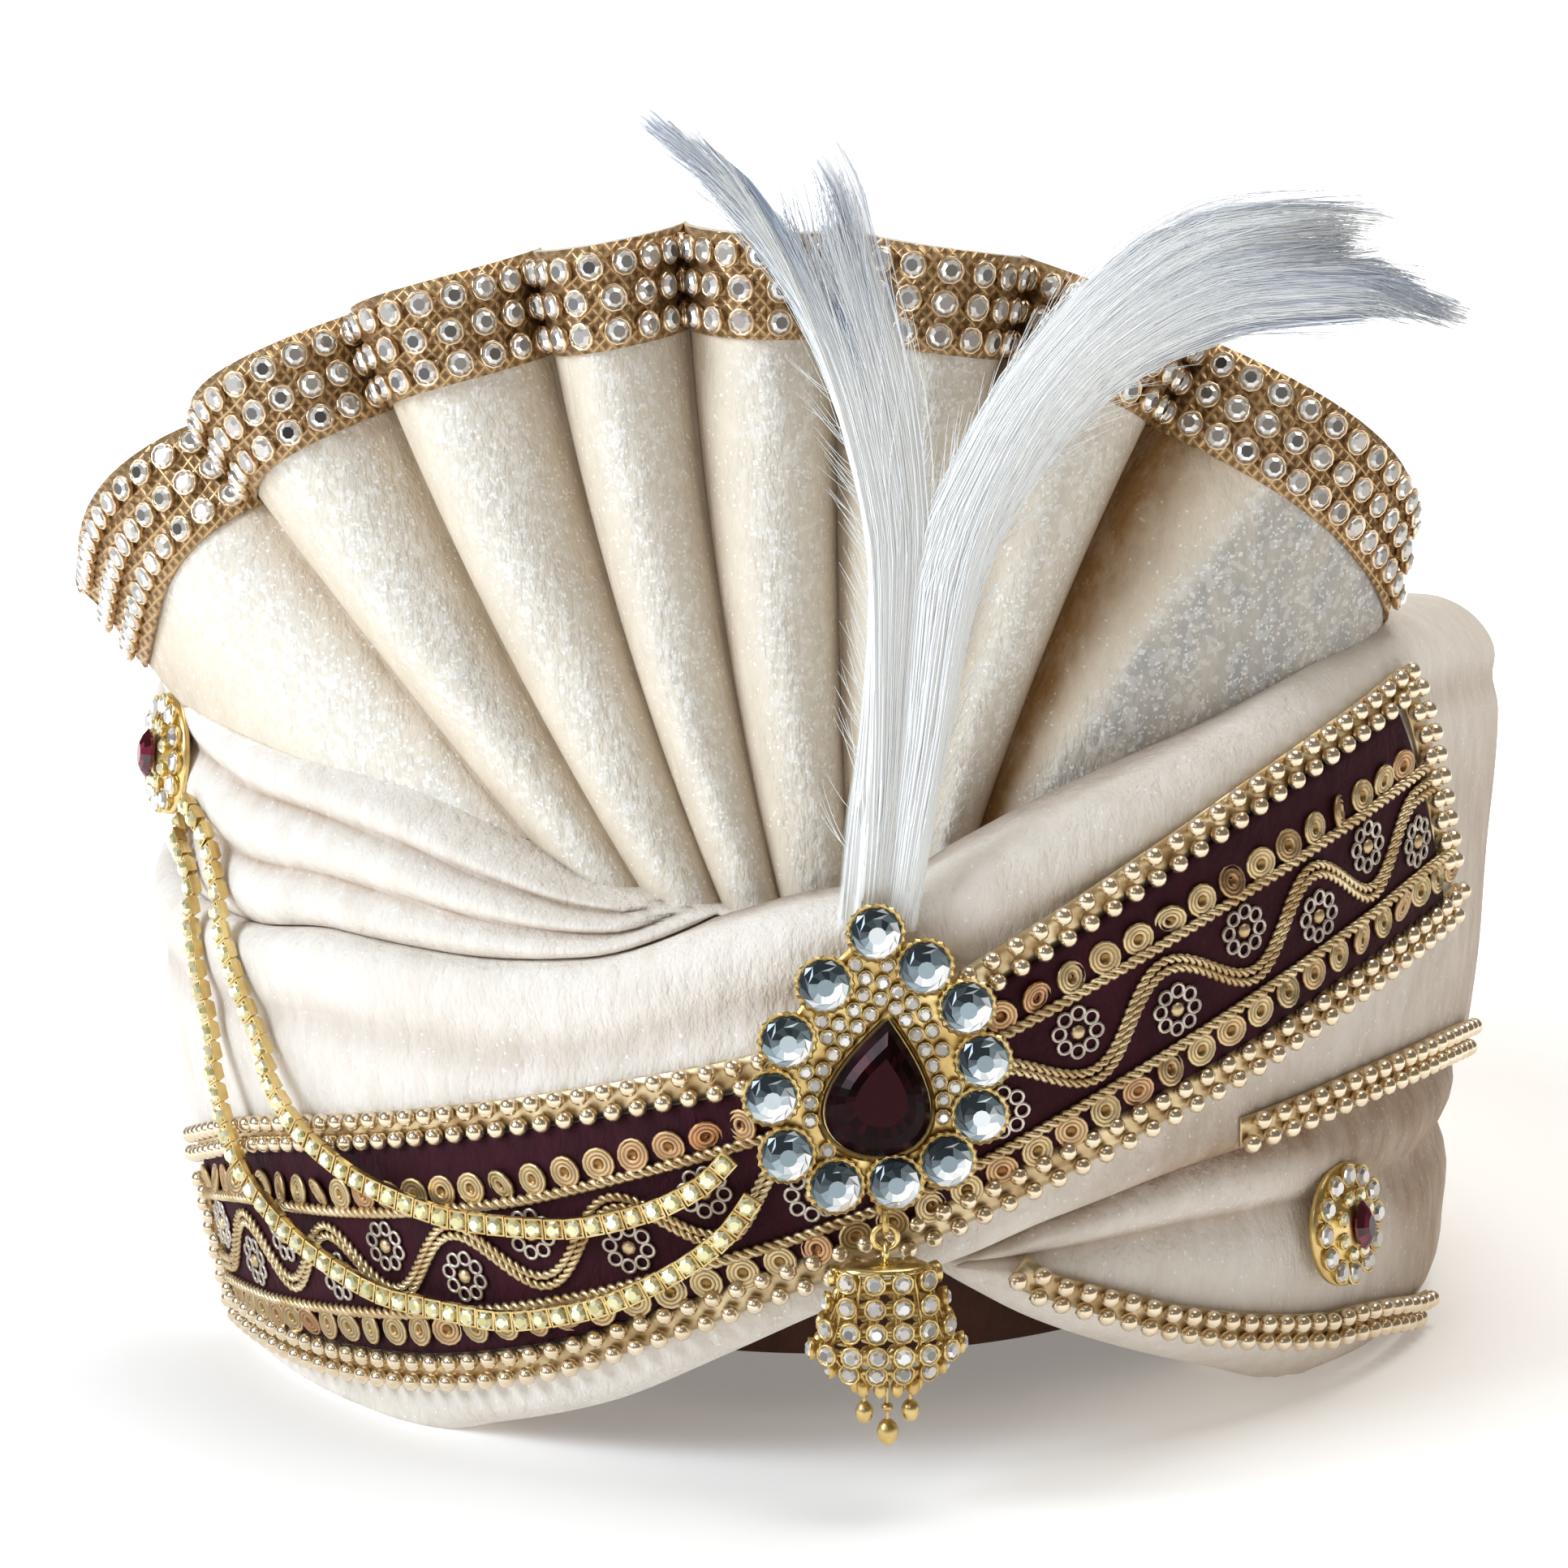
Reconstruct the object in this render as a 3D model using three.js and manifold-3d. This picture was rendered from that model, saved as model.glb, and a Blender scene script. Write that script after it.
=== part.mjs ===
// Tied turban (pagri): a stiffened wedding turban that stands on its own rim.
// Units are millimetres, +Z is up and the front faces -Y.
// The origin is the centre of the head opening, in the plane that the rim stands on.

import * as THREE from 'three';
import { mergeVertices } from 'three/addons/utils/BufferGeometryUtils.js';
import Module from 'manifold-3d';

const wasm = await Module();
wasm.setup();

// Head opening and cloth
const HEAD = { halfWidth: 83, halfDepth: 102 };
const GAP = 0.4;
const BAND_WALL = 1.7;
const INNER_BAND = { low: 12, high: 58 };
const CROWN = { rim: 84, rise: 34, wall: 2, gathers: 14, gatherDepth: 1.6, sides: 28, ease: 1.1 };

// The wound cloth: how far it stands out from the head opening at each height
const BULGE = [
  { height: 0, out: 28.0 },
  { height: 20, out: 31.5 },
  { height: 45, out: 35.0 },
  { height: 70, out: 38.0 },
  { height: 95, out: 40.0 },
  { height: 115, out: 40.5 },
  { height: 130, out: 39.0 },
  { height: 145, out: 35.0 },
];

// Under wrap: high at the left, low at the right, arched up at the front
const UNDER = [
  { turn: -180, low: -4, high: 114 },
  { turn: -150, low: -4, high: 124 },
  { turn: -120, low: -2, high: 131 },
  { turn: -90, low: 4, high: 131 },
  { turn: -70, low: 6, high: 126 },
  { turn: -53, low: 9, high: 121 },
  { turn: -44, low: 12, high: 117 },
  { turn: -34, low: 19, high: 108 },
  { turn: -26, low: 27, high: 101 },
  { turn: -14, low: 37, high: 97 },
  { turn: 0, low: 38, high: 93 },
  { turn: 6, low: 31, high: 92 },
  { turn: 13, low: 23, high: 94 },
  { turn: 21, low: 16, high: 99 },
  { turn: 36, low: 5, high: 106 },
  { turn: 47, low: -2, high: 111 },
  { turn: 70, low: -4, high: 111 },
  { turn: 120, low: -4, high: 101 },
  { turn: 150, low: -4, high: 104 },
];

// Over wrap: low at the left, high at the right, lying on the under wrap
const OVER = [
  { turn: -180, low: 22, high: 96, nose: 8 },
  { turn: -150, low: 8, high: 91, nose: 6 },
  { turn: -120, low: -3, high: 88, nose: 5 },
  { turn: -90, low: -5, high: 82, nose: 5 },
  { turn: -62, low: -5, high: 84, nose: 5 },
  { turn: -49, low: -4, high: 88, nose: 5 },
  { turn: -37, low: 3, high: 88, nose: 5 },
  { turn: -25, low: 11, high: 90, nose: 6 },
  { turn: -14, low: 22, high: 97, nose: 7 },
  { turn: -7, low: 29, high: 101, nose: 7 },
  { turn: 0, low: 35, high: 103, nose: 6 },
  { turn: 6, low: 39, high: 109, nose: 6 },
  { turn: 13, low: 44, high: 115, nose: 6 },
  { turn: 28, low: 50, high: 124, nose: 6 },
  { turn: 41, low: 51, high: 133, nose: 7 },
  { turn: 53, low: 50, high: 137, nose: 9 },
  { turn: 70, low: 47, high: 132, nose: 13 },
  { turn: 90, low: 42, high: 123, nose: 13 },
  { turn: 120, low: 35, high: 101, nose: 12 },
  { turn: 150, low: 29, high: 97, nose: 10 },
];
const OVER_PROUD = 2.5;
const OVER_SUNK = 12;
const UNDER_NOSE = 14;
const OVER_FOOT = 5;
const INNER_NOSE = 6;
const FOLD = { depth: 3.2, left: 3, right: 2, foot: 0.4 };
const LOBE = { from: 28, full: 60, till: 95, to: 130, out: 4.4, height: 55 };

// Stations round the head: close together at the front, wider at the back
const STATIONS = { front: 120, frontStep: 6, backStep: 15 };

// Brocade band on the over wrap, between its lower and upper bead rows
const BAND = [
  { turn: -78, low: 3, high: 38 },
  { turn: -60, low: 4.5, high: 51 },
  { turn: -45, low: 8, high: 59 },
  { turn: -30, low: 15.5, high: 67 },
  { turn: -20, low: 24, high: 72.5 },
  { turn: -10, low: 33, high: 78 },
  { turn: 0, low: 41, high: 86 },
  { turn: 10, low: 50, high: 97.5 },
  { turn: 20, low: 58.5, high: 109 },
  { turn: 30, low: 66, high: 119 },
  { turn: 40, low: 73, high: 126 },
  { turn: 50, low: 78, high: 131 },
  { turn: 57, low: 80, high: 132 },
];
const BAND_ENDS = { leftLow: -76, leftHigh: -79, rightLow: 57.5, rightHigh: 49 };
const BAND_CLOTH = { wall: 1.2, columns: 22, rows: 3, endShare: 0.03 };
const TRIM = { width: 6.8, height: 3.0, end: 0.014 };

// Short bead rows on the right: along the over wrap's and the under wrap's lower edges
const RIGHT_TRIM_UPPER = [
  { turn: 27, above: 5 },
  { turn: 36, above: 5.5 },
  { turn: 43, above: 6.5 },
  { turn: 50, above: 8.2 },
  { turn: 58, above: 9 },
  { turn: 67, above: 9 },
];
const RIGHT_TRIM_LOWER = [
  { turn: 10, above: 9.5 },
  { turn: 22, above: 9 },
  { turn: 30, above: 9.2 },
  { turn: 39, above: 10.3 },
  { turn: 49, above: 11 },
  { turn: 57, above: 9.6 },
  { turn: 62.5, above: 7.8 },
];

// Fan: pleats that spread from a hidden centre, one row for each valley between pleats
const FAN_CENTRE = { x: -3, z: 45 };
const FAN = [
  { tip: 145.0, base: 147.0, radius: 160.5, start: 124, bold: 0.15 },
  { tip: 130.8, base: 132.0, radius: 169.5, start: 82, bold: 0.7 },
  { tip: 119.5, base: 125.0, radius: 171.0, start: 62, bold: 1 },
  { tip: 108.6, base: 115.5, radius: 168.5, start: 52, bold: 1 },
  { tip: 99.8, base: 106.0, radius: 166.5, start: 48, bold: 1 },
  { tip: 90.6, base: 93.5, radius: 163.0, start: 46, bold: 1 },
  { tip: 79.0, base: 84.0, radius: 160.0, start: 46, bold: 1 },
  { tip: 67.3, base: 74.0, radius: 155.0, start: 52, bold: 1 },
  { tip: 47.8, base: 37.0, radius: 148.0, start: 104, bold: 0.75 },
];
const FAN_CLOTH = { wall: 2.4, tipDepth: 19, baseDepth: 4, ridge: 0.62, lean: 0.08 };
const FAN_PLAN = { depth: 122, left: 126, right: 138, flare: 0.3, flareFrom: 115 };
const FAN_STEPS = { along: 2, across: [0, 0.13, 0.36, 0.64, 0.87] };
const LACE = { width: 17, wall: 1.4, lift: 0.6 };

// Main brooch: a pear-shaped ring of round stones about a teardrop, in the brooch's own plane
const BROOCH = { x: -5, z: 78, standOff: 147.45, plate: 1.4, backing: 1.06 };
const STONE_RING = [
  { x: 0.3, y: 20.6 },
  { x: 8.2, y: 14.6 },
  { x: 15.0, y: 7.6 },
  { x: 17.6, y: -1.4 },
  { x: 16.9, y: -10.6 },
  { x: 11.5, y: -18.0 },
  { x: 2.9, y: -21.3 },
  { x: -6.8, y: -21.5 },
  { x: -14.7, y: -15.9 },
  { x: -17.1, y: -6.2 },
  { x: -14.4, y: 3.2 },
  { x: -8.2, y: 12.3 },
];
const ROUND_STONE = { radius: 4.3, sides: 8, table: 0.58, crown: 1.7, pavilion: 0.8 };
const COLLET = { radius: 4.9, height: 1.6, sides: 8 };
const TEARDROP = { width: 17.6, height: 23, crown: 3.2, girdle: 0.9, lean: -7, table: 0.55 };

// Drop that hangs from the brooch by an eye and a jump ring
const WIRE = 0.55;
const LINK = { eye: 1.7, jump: 2.0, loop: 1.7, clearance: 0.12 };
const LUG = { width: 2.4, height: 8, depth: 1.6, out: 1.75 };
const DROP_AXIS = { x: -4, y: -151.25, eyeZ: 50.2 };
const DROP_DEPTH = 0.54;
const DROP_PROFILE = [
  { below: 0.0, half: 1.6 },
  { below: 0.9, half: 8.6 },
  { below: 2.4, half: 9.4 },
  { below: 9.0, half: 10.8 },
  { below: 13.0, half: 12.7 },
  { below: 15.2, half: 12.4 },
  { below: 17.8, half: 9.0 },
  { below: 20.8, half: 5.6 },
];
const STRANDS = [
  { across: -3.8, length: 5.0, bead: 1.6 },
  { across: 0, length: 8.6, bead: 1.9 },
  { across: 3.8, length: 5.0, bead: 1.6 },
];

// Cup chains that swag from the left brooch to the main brooch
const CHAIN = { radius: 1.6, sides: 8, steps: 25, rest: 0.45 };
const CHAIN_OUTER = [
  { turn: -73.2, height: 95.6 },
  { turn: -69.8, height: 90.5 },
  { turn: -67.9, height: 83 },
  { turn: -66.5, height: 72.5 },
  { turn: -63.5, height: 56 },
  { turn: -59.5, height: 40.5 },
  { turn: -51, height: 30.5 },
  { turn: -42, height: 26.5 },
  { turn: -34, height: 26.5 },
  { turn: -26, height: 30 },
  { turn: -19, height: 37 },
  { turn: -13.5, height: 46 },
  { turn: -11.2, height: 53 },
];
const CHAIN_INNER = [
  { turn: -69.2, height: 103.5 },
  { turn: -66.4, height: 100 },
  { turn: -64, height: 92 },
  { turn: -60.5, height: 79 },
  { turn: -56, height: 64.5 },
  { turn: -50.5, height: 53 },
  { turn: -43, height: 46.5 },
  { turn: -35, height: 44 },
  { turn: -27, height: 45 },
  { turn: -20, height: 49 },
  { turn: -15, height: 55 },
  { turn: -12.8, height: 60 },
];

// Small round brooches on the sides
const SIDE_BROOCH = { radius: 11, rim: 1.4, dome: 4.2, sides: 16, stoneLength: 9, stoneWidth: 5 };
const SIDE_LEFT = { turn: -75, height: 109, lift: 0.2 };
const SIDE_RIGHT = { turn: 43.4, height: 31, lift: 2.0 };

// Plumes: the quill's path and the vane's width along it
const FEATHER_LEFT = [
  { x: -6.0, y: -146.0, z: 98, width: 2.2 },
  { x: -5.4, y: -146.0, z: 112, width: 5 },
  { x: -5.2, y: -145.0, z: 131, width: 10 },
  { x: -5.4, y: -143.5, z: 156, width: 15 },
  { x: -8.6, y: -141.5, z: 180, width: 17 },
  { x: -15.5, y: -140.5, z: 203, width: 18 },
  { x: -26.5, y: -141.5, z: 221, width: 14 },
  { x: -40.0, y: -144.5, z: 232, width: 5 },
];
const FEATHER_RIGHT = [
  { x: 0.4, y: -146.0, z: 98, width: 2.2 },
  { x: 3.0, y: -146.0, z: 112, width: 5 },
  { x: 7.4, y: -145.0, z: 133, width: 10 },
  { x: 11.5, y: -143.5, z: 155, width: 16 },
  { x: 21.0, y: -142.0, z: 177, width: 21 },
  { x: 36.0, y: -141.5, z: 194, width: 24 },
  { x: 56.0, y: -142.5, z: 204, width: 22 },
  { x: 76.0, y: -145.5, z: 205, width: 16 },
  { x: 93.0, y: -149.5, z: 196, width: 5 },
];
const PLUME = { thickness: 3.2, stations: 10, sides: 6, locks: 4, lockLength: 15, lockRadius: 2.4 };

// Colours and finishes
const LOOKS = {
  cream: { color: 0xe9dcc6, roughness: 0.85, metalness: 0 },
  ivory: { color: 0xefe3cf, roughness: 0.7, metalness: 0 },
  lining: { color: 0x3a2218, roughness: 0.9, metalness: 0 },
  maroon: { color: 0x2d0a14, roughness: 0.8, metalness: 0 },
  gold: { color: 0xc9a063, roughness: 0.3, metalness: 1 },
  pearlGold: { color: 0xe2c79a, roughness: 0.35, metalness: 0.6 },
  crystal: { color: 0xb9c4cf, roughness: 0.08, metalness: 0.2 },
  garnet: { color: 0x4a0610, roughness: 0.08, metalness: 0.1 },
  plume: { color: 0xf2f0ee, roughness: 0.9, metalness: 0 },
};

// General geometry helpers

const radians = THREE.MathUtils.degToRad;
const mix = THREE.MathUtils.lerp;

/** Smooth curve through two columns of a table: cubic pieces that never overshoot a row. */
function curveOf(rows, input, output, period = 0) {
  let xs = rows.map((row) => row[input]);
  let ys = rows.map((row) => row[output]);
  if (period) {
    xs = [-period, 0, period].flatMap((shift) => xs.map((x) => x + shift));
    ys = [...ys, ...ys, ...ys];
  }
  const last = xs.length - 1;
  const chord = xs.slice(1).map((x, i) => (ys[i + 1] - ys[i]) / (x - xs[i]));
  const slope = xs.map((_, i) => {
    if (i === 0) return chord[0];
    if (i === last) return chord[last - 1];
    const product = chord[i - 1] * chord[i];
    return product <= 0 ? 0 : (2 * product) / (chord[i - 1] + chord[i]);
  });
  return (value) => {
    const x = THREE.MathUtils.clamp(value, xs[0], xs[last]);
    let i = 0;
    while (i < last - 1 && x > xs[i + 1]) i += 1;
    const step = xs[i + 1] - xs[i];
    const t = (x - xs[i]) / step;
    const rise = t * t * (3 - 2 * t);
    const leave = t * (1 - t) * (1 - t);
    const arrive = t * t * (t - 1);
    return mix(ys[i], ys[i + 1], rise) + step * (slope[i] * leave + slope[i + 1] * arrive);
  };
}

/** Six times the volume inside a mesh: negative where its faces point inwards. */
function signedVolume(points, faces) {
  let sum = 0;
  for (let i = 0; i < faces.length; i += 3) {
    const [a, b, c] = [faces[i], faces[i + 1], faces[i + 2]].map((k) =>
      new THREE.Vector3(points[3 * k], points[3 * k + 1], points[3 * k + 2]));
    sum += a.dot(b.cross(c));
  }
  return sum;
}

/** Shared vertices only, with every face turned outwards. */
function tidy(geometry) {
  const bare = geometry.clone();
  bare.deleteAttribute('normal');
  bare.deleteAttribute('uv');
  const merged = mergeVertices(bare, 1e-4);
  const points = merged.getAttribute('position').array;
  const faces = [];
  const index = merged.getIndex().array;
  for (let i = 0; i < index.length; i += 3) {
    const [a, b, c] = [index[i], index[i + 1], index[i + 2]];
    if (a !== b && b !== c && c !== a) faces.push(a, b, c);
  }
  const inward = signedVolume(points, faces) < 0;
  if (inward) {
    for (let i = 0; i < faces.length; i += 3) [faces[i + 1], faces[i + 2]] = [faces[i + 2], faces[i + 1]];
  }
  merged.setIndex(faces);
  return merged;
}

/** Mesh from rows of points and triangles given as indices. */
function meshOf(points, faces) {
  const geometry = new THREE.BufferGeometry();
  geometry.setAttribute('position', new THREE.Float32BufferAttribute(points.flatMap((p) => p.toArray()), 3));
  geometry.setIndex(faces);
  return tidy(geometry);
}

/** Skin through closed rings of equal length: a hoop if it closes, or a rod with flat ends. */
function loft(rings, hoop = false) {
  const count = rings[0].length;
  const points = rings.flat();
  const faces = [];
  const spans = hoop ? rings.length : rings.length - 1;
  for (let i = 0; i < spans; i += 1) {
    const next = (i + 1) % rings.length;
    for (let j = 0; j < count; j += 1) {
      const k = (j + 1) % count;
      const [a, b, c, d] = [i * count + j, next * count + j, next * count + k, i * count + k];
      faces.push(a, b, c, a, c, d);
    }
  }
  if (!hoop) {
    for (const [ring, flip] of [[0, false], [rings.length - 1, true]]) {
      const centre = rings[ring].reduce((sum, p) => sum.add(p), new THREE.Vector3());
      points.push(centre.divideScalar(count));
      for (let j = 0; j < count; j += 1) {
        const edge = [ring * count + j, ring * count + (j + 1) % count];
        if (flip) edge.reverse();
        faces.push(points.length - 1, ...edge);
      }
    }
  }
  return meshOf(points, faces);
}

/** Closed plate from two grids of points, its front and its back, split along the same diagonals. */
function plate(front, back) {
  const columns = front.length;
  const rows = front[0].length;
  const points = [...front.flat(), ...back.flat()];
  const at = (i, j, side) => side * columns * rows + i * rows + j;
  const faces = [];
  const quad = (a, b, c, d) => faces.push(a, b, c, a, c, d);
  for (let i = 0; i < columns - 1; i += 1) {
    for (let j = 0; j < rows - 1; j += 1) {
      quad(at(i, j, 0), at(i + 1, j, 0), at(i + 1, j + 1, 0), at(i, j + 1, 0));
      faces.push(at(i, j, 1), at(i + 1, j + 1, 1), at(i + 1, j, 1));
      faces.push(at(i, j, 1), at(i, j + 1, 1), at(i + 1, j + 1, 1));
    }
    quad(at(i, 0, 1), at(i + 1, 0, 1), at(i + 1, 0, 0), at(i, 0, 0));
    quad(at(i, rows - 1, 0), at(i + 1, rows - 1, 0), at(i + 1, rows - 1, 1), at(i, rows - 1, 1));
  }
  for (let j = 0; j < rows - 1; j += 1) {
    const last = columns - 1;
    quad(at(0, j, 1), at(0, j, 0), at(0, j + 1, 0), at(0, j + 1, 1));
    quad(at(last, j, 0), at(last, j, 1), at(last, j + 1, 1), at(last, j + 1, 0));
  }
  return meshOf(points, faces);
}

/** Geometry as a solid that can be joined and cut. */
function solidOf(geometry) {
  const clean = tidy(geometry);
  return new wasm.Manifold(new wasm.Mesh({
    numProp: 3,
    vertProperties: new Float32Array(clean.getAttribute('position').array),
    triVerts: new Uint32Array(clean.getIndex().array),
  }));
}

/** Joined or cut solid as geometry again. */
function geometryOf(solid) {
  const mesh = solid.getMesh();
  const geometry = new THREE.BufferGeometry();
  geometry.setAttribute('position', new THREE.Float32BufferAttribute(Array.from(mesh.vertProperties), 3));
  geometry.setIndex(Array.from(mesh.triVerts));
  return geometry;
}

/** All the given geometries fused into one body. */
function fuse(geometries) {
  return geometryOf(geometries.map(solidOf).reduce((whole, next) => whole.add(next)));
}

/** Body of revolution about Z from rows of [radius, height] that start and end on the axis. */
function turned(profile, sides) {
  const points = profile.map(([radius, height]) => new THREE.Vector2(radius, height));
  return new THREE.LatheGeometry(points, sides).rotateX(Math.PI / 2);
}

// Cloth surfaces round the head

const bulge = curveOf(BULGE, 'height', 'out');
const underLow = curveOf(UNDER, 'turn', 'low', 360);
const underHigh = curveOf(UNDER, 'turn', 'high', 360);
const overLow = curveOf(OVER, 'turn', 'low', 360);
const overHigh = curveOf(OVER, 'turn', 'high', 360);
const overNose = curveOf(OVER, 'turn', 'nose', 360);

/** Point at a turn from the front (degrees, + to the right), a distance out and a height. */
function around(turn, out, height) {
  const angle = radians(turn);
  const x = (HEAD.halfWidth + out) * Math.sin(angle);
  const y = -(HEAD.halfDepth + out) * Math.cos(angle);
  return new THREE.Vector3(x, y, height);
}

/** How far a rounded edge of the given radius drops away at a distance in from the edge. */
function nose(inset, radius) {
  const short = THREE.MathUtils.clamp(radius - inset, 0, radius);
  return radius - Math.sqrt(radius * radius - short * short);
}

/** Folds on the under wrap where it shows: above the over wrap at the left, below it at the right. */
function foldDepth(turn, height) {
  const above = (height - overHigh(turn)) / Math.max(8, underHigh(turn) - overHigh(turn));
  const below = (height - underLow(turn)) / Math.max(8, overLow(turn) - underLow(turn));
  const ripple = (v, count) => (v <= 0 || v >= 1 ? 0 : 1 - Math.abs(Math.sin(Math.PI * count * v)));
  const foot = THREE.MathUtils.clamp(below / FOLD.foot, 0, 1);
  return FOLD.depth * (ripple(above, FOLD.left) + ripple(below, FOLD.right) * foot);
}

/** How far the under wrap's lower right lobe stands out, most at its foot. */
function lobe(turn, height) {
  const side = THREE.MathUtils.smoothstep(turn, LOBE.from, LOBE.full) - THREE.MathUtils.smoothstep(turn, LOBE.till, LOBE.to);
  return LOBE.out * side * Math.max(0, 1 - height / LOBE.height);
}

/** Outer face of the under wrap, before the over wrap presses into it. */
function underFace(turn, height) {
  const inset = Math.min(height - underLow(turn), underHigh(turn) - height);
  return bulge(height) + lobe(turn, height) - nose(inset, UNDER_NOSE) - foldDepth(turn, height);
}

/** Outer face of the over wrap. */
function overFace(turn, height) {
  const shoulder = nose(overHigh(turn) - height, overNose(turn));
  const foot = nose(height - overLow(turn), OVER_FOOT);
  return bulge(height) + OVER_PROUD - shoulder - foot;
}

/** Outermost cloth at a turn and height. */
function clothFace(turn, height) {
  const covered = height > overLow(turn) && height < overHigh(turn);
  return covered ? overFace(turn, height) : underFace(turn, height);
}

/** Heights from low to high, closer together near both ends. */
function spread(low, high, count) {
  return Array.from({ length: count }, (_, i) => mix(low, high, 0.5 - 0.5 * Math.cos((Math.PI * i) / (count - 1))));
}

/** Turns of the sections round the head. */
function stationTurns() {
  const turns = [];
  for (let t = -STATIONS.front; t < STATIONS.front; t += STATIONS.frontStep) turns.push(t);
  for (let t = STATIONS.front; t < 360 - STATIONS.front; t += STATIONS.backStep) turns.push(t);
  return turns;
}

/** Hoop round the head from a section of [out, height] pairs at each station. */
function hoop(sectionAt) {
  return loft(stationTurns().map((turn) => sectionAt(turn).map(([out, z]) => around(turn, out, Math.max(z, 0)))), true);
}

/** Under wrap's section, grown all round by a margin. */
function underSection(turn, grow = 0) {
  const outer = spread(underLow(turn), underHigh(turn), 14).map((z) => [underFace(turn, z) + grow, z]);
  const inner = spread(underHigh(turn), underLow(turn), 4).map((z) => {
    const inset = Math.min(z - underLow(turn), underHigh(turn) - z);
    return [nose(inset, INNER_NOSE) - grow, z];
  });
  const middle = 0.5 * (underLow(turn) + underHigh(turn));
  return [...outer, ...inner].map(([out, z]) => [out, z + Math.sign(z - middle) * grow]);
}

/** Over wrap's section, grown all round by a margin. */
function overSection(turn, grow = 0) {
  const outer = spread(overLow(turn), overHigh(turn), 11).map((z) => [overFace(turn, z) + grow, z]);
  const inner = spread(overHigh(turn), overLow(turn), 4).map((z) => [bulge(z) - OVER_SUNK - grow, z]);
  const middle = 0.5 * (overLow(turn) + overHigh(turn));
  return [...outer, ...inner].map(([out, z]) => [out, z + Math.sign(z - middle) * grow]);
}

const innerBand = hoop(() => [
  [-GAP, INNER_BAND.low],
  [-GAP, INNER_BAND.high],
  [-GAP - BAND_WALL, INNER_BAND.high],
  [-GAP - BAND_WALL, INNER_BAND.low],
]);
const overWrap = hoop((turn) => overSection(turn));
const overGrown = solidOf(hoop((turn) => overSection(turn, GAP)));
const underGrown = solidOf(hoop((turn) => underSection(turn, GAP)));
const underWrap = geometryOf(solidOf(hoop((turn) => underSection(turn))).subtract(overGrown));

/** Crown: a soft dome inside the wraps, gathered towards its middle. */
function crownDome() {
  const rings = [1, 0.82, 0.6, 0.34];
  const wallAt = (share, lower) => [share, CROWN.rim + CROWN.rise * (1 - share * share) - (lower ? CROWN.wall : 0)];
  const profile = [
    wallAt(0, true),
    ...rings.slice().reverse().map((share) => wallAt(share, true)),
    ...rings.map((share) => wallAt(share, false)),
    wallAt(0, false),
  ];
  const dome = turned(profile, CROWN.sides);
  const place = dome.getAttribute('position');
  for (let i = 0; i < place.count; i += 1) {
    const [x, y, z] = [place.getX(i), place.getY(i), place.getZ(i)];
    const share = Math.hypot(x, y);
    const gather = Math.cos(CROWN.gathers * Math.atan2(y, x)) * CROWN.gatherDepth * 4 * share * (1 - share);
    place.setXYZ(i, x * (HEAD.halfWidth - CROWN.ease), y * (HEAD.halfDepth - CROWN.ease), z + gather);
  }
  return dome;
}

// Brocade band and its bead rows

const bandLow = curveOf(BAND, 'turn', 'low');
const bandHigh = curveOf(BAND, 'turn', 'high');

/** Turn at a share along the band and a share across it: its ends are slanted. */
function bandTurn(along, across) {
  const left = mix(BAND_ENDS.leftLow, BAND_ENDS.leftHigh, across);
  const right = mix(BAND_ENDS.rightLow, BAND_ENDS.rightHigh, across);
  return mix(left, right, along);
}

/** Turn and height at a share along and across the band, clear of both edges by a margin. */
function bandSpot(along, across, margin) {
  const turn = bandTurn(along, across);
  return { turn, height: mix(bandLow(turn) + margin, bandHigh(turn) - margin, across) };
}

/** Point on the band's cloth, lifted off the over wrap. */
function bandPoint(along, across, margin, lift) {
  const { turn, height } = bandSpot(along, across, margin);
  return around(turn, overFace(turn, height) + lift, height);
}

function brocadeCloth() {
  const margin = TRIM.width + 2 * GAP;
  const { columns, rows, wall, endShare } = BAND_CLOTH;
  const grid = (lift) => Array.from({ length: columns + 1 }, (_, i) =>
    Array.from({ length: rows + 1 }, (__, j) =>
      bandPoint(mix(endShare, 1 - endShare, i / columns), j / rows, margin, lift)));
  return plate(grid(GAP + wall), grid(GAP));
}

/** Flat oval rod along points on the cloth: the solid of a double row of beads. */
function beadRod(spots, faceAt, lift = GAP) {
  const centre = spots.map(({ turn, height }) => around(turn, faceAt(turn, height) + lift + TRIM.height / 2, height));
  const rings = centre.map((point, i) => {
    const before = centre[Math.max(0, i - 1)];
    const after = centre[Math.min(centre.length - 1, i + 1)];
    const along = after.clone().sub(before).normalize();
    const angle = radians(spots[i].turn);
    const outward = new THREE.Vector3(Math.sin(angle), -Math.cos(angle), 0);
    const side = outward.clone().cross(along).normalize();
    const up = along.clone().cross(side).normalize();
    return Array.from({ length: 8 }, (_, k) => {
      const a = (2 * Math.PI * (k + 0.5)) / 8;
      const offset = side.clone().multiplyScalar((TRIM.width / 2) * Math.cos(a));
      return point.clone().add(offset.addScaledVector(up, (TRIM.height / 2) * Math.sin(a)));
    });
  });
  return loft(rings);
}

const trimMargin = TRIM.width / 2;

/** Bead rows along the band's upper edge and down its right end. */
function upperTrim() {
  const spots = Array.from({ length: 23 }, (_, i) => bandSpot((1 - TRIM.end) * (i / 22), 1, trimMargin));
  const end = Array.from({ length: 4 }, (_, i) => bandSpot(1 - TRIM.end, mix(0.75, 0.17, i / 3), trimMargin));
  return beadRod([...spots, ...end], overFace);
}

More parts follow.
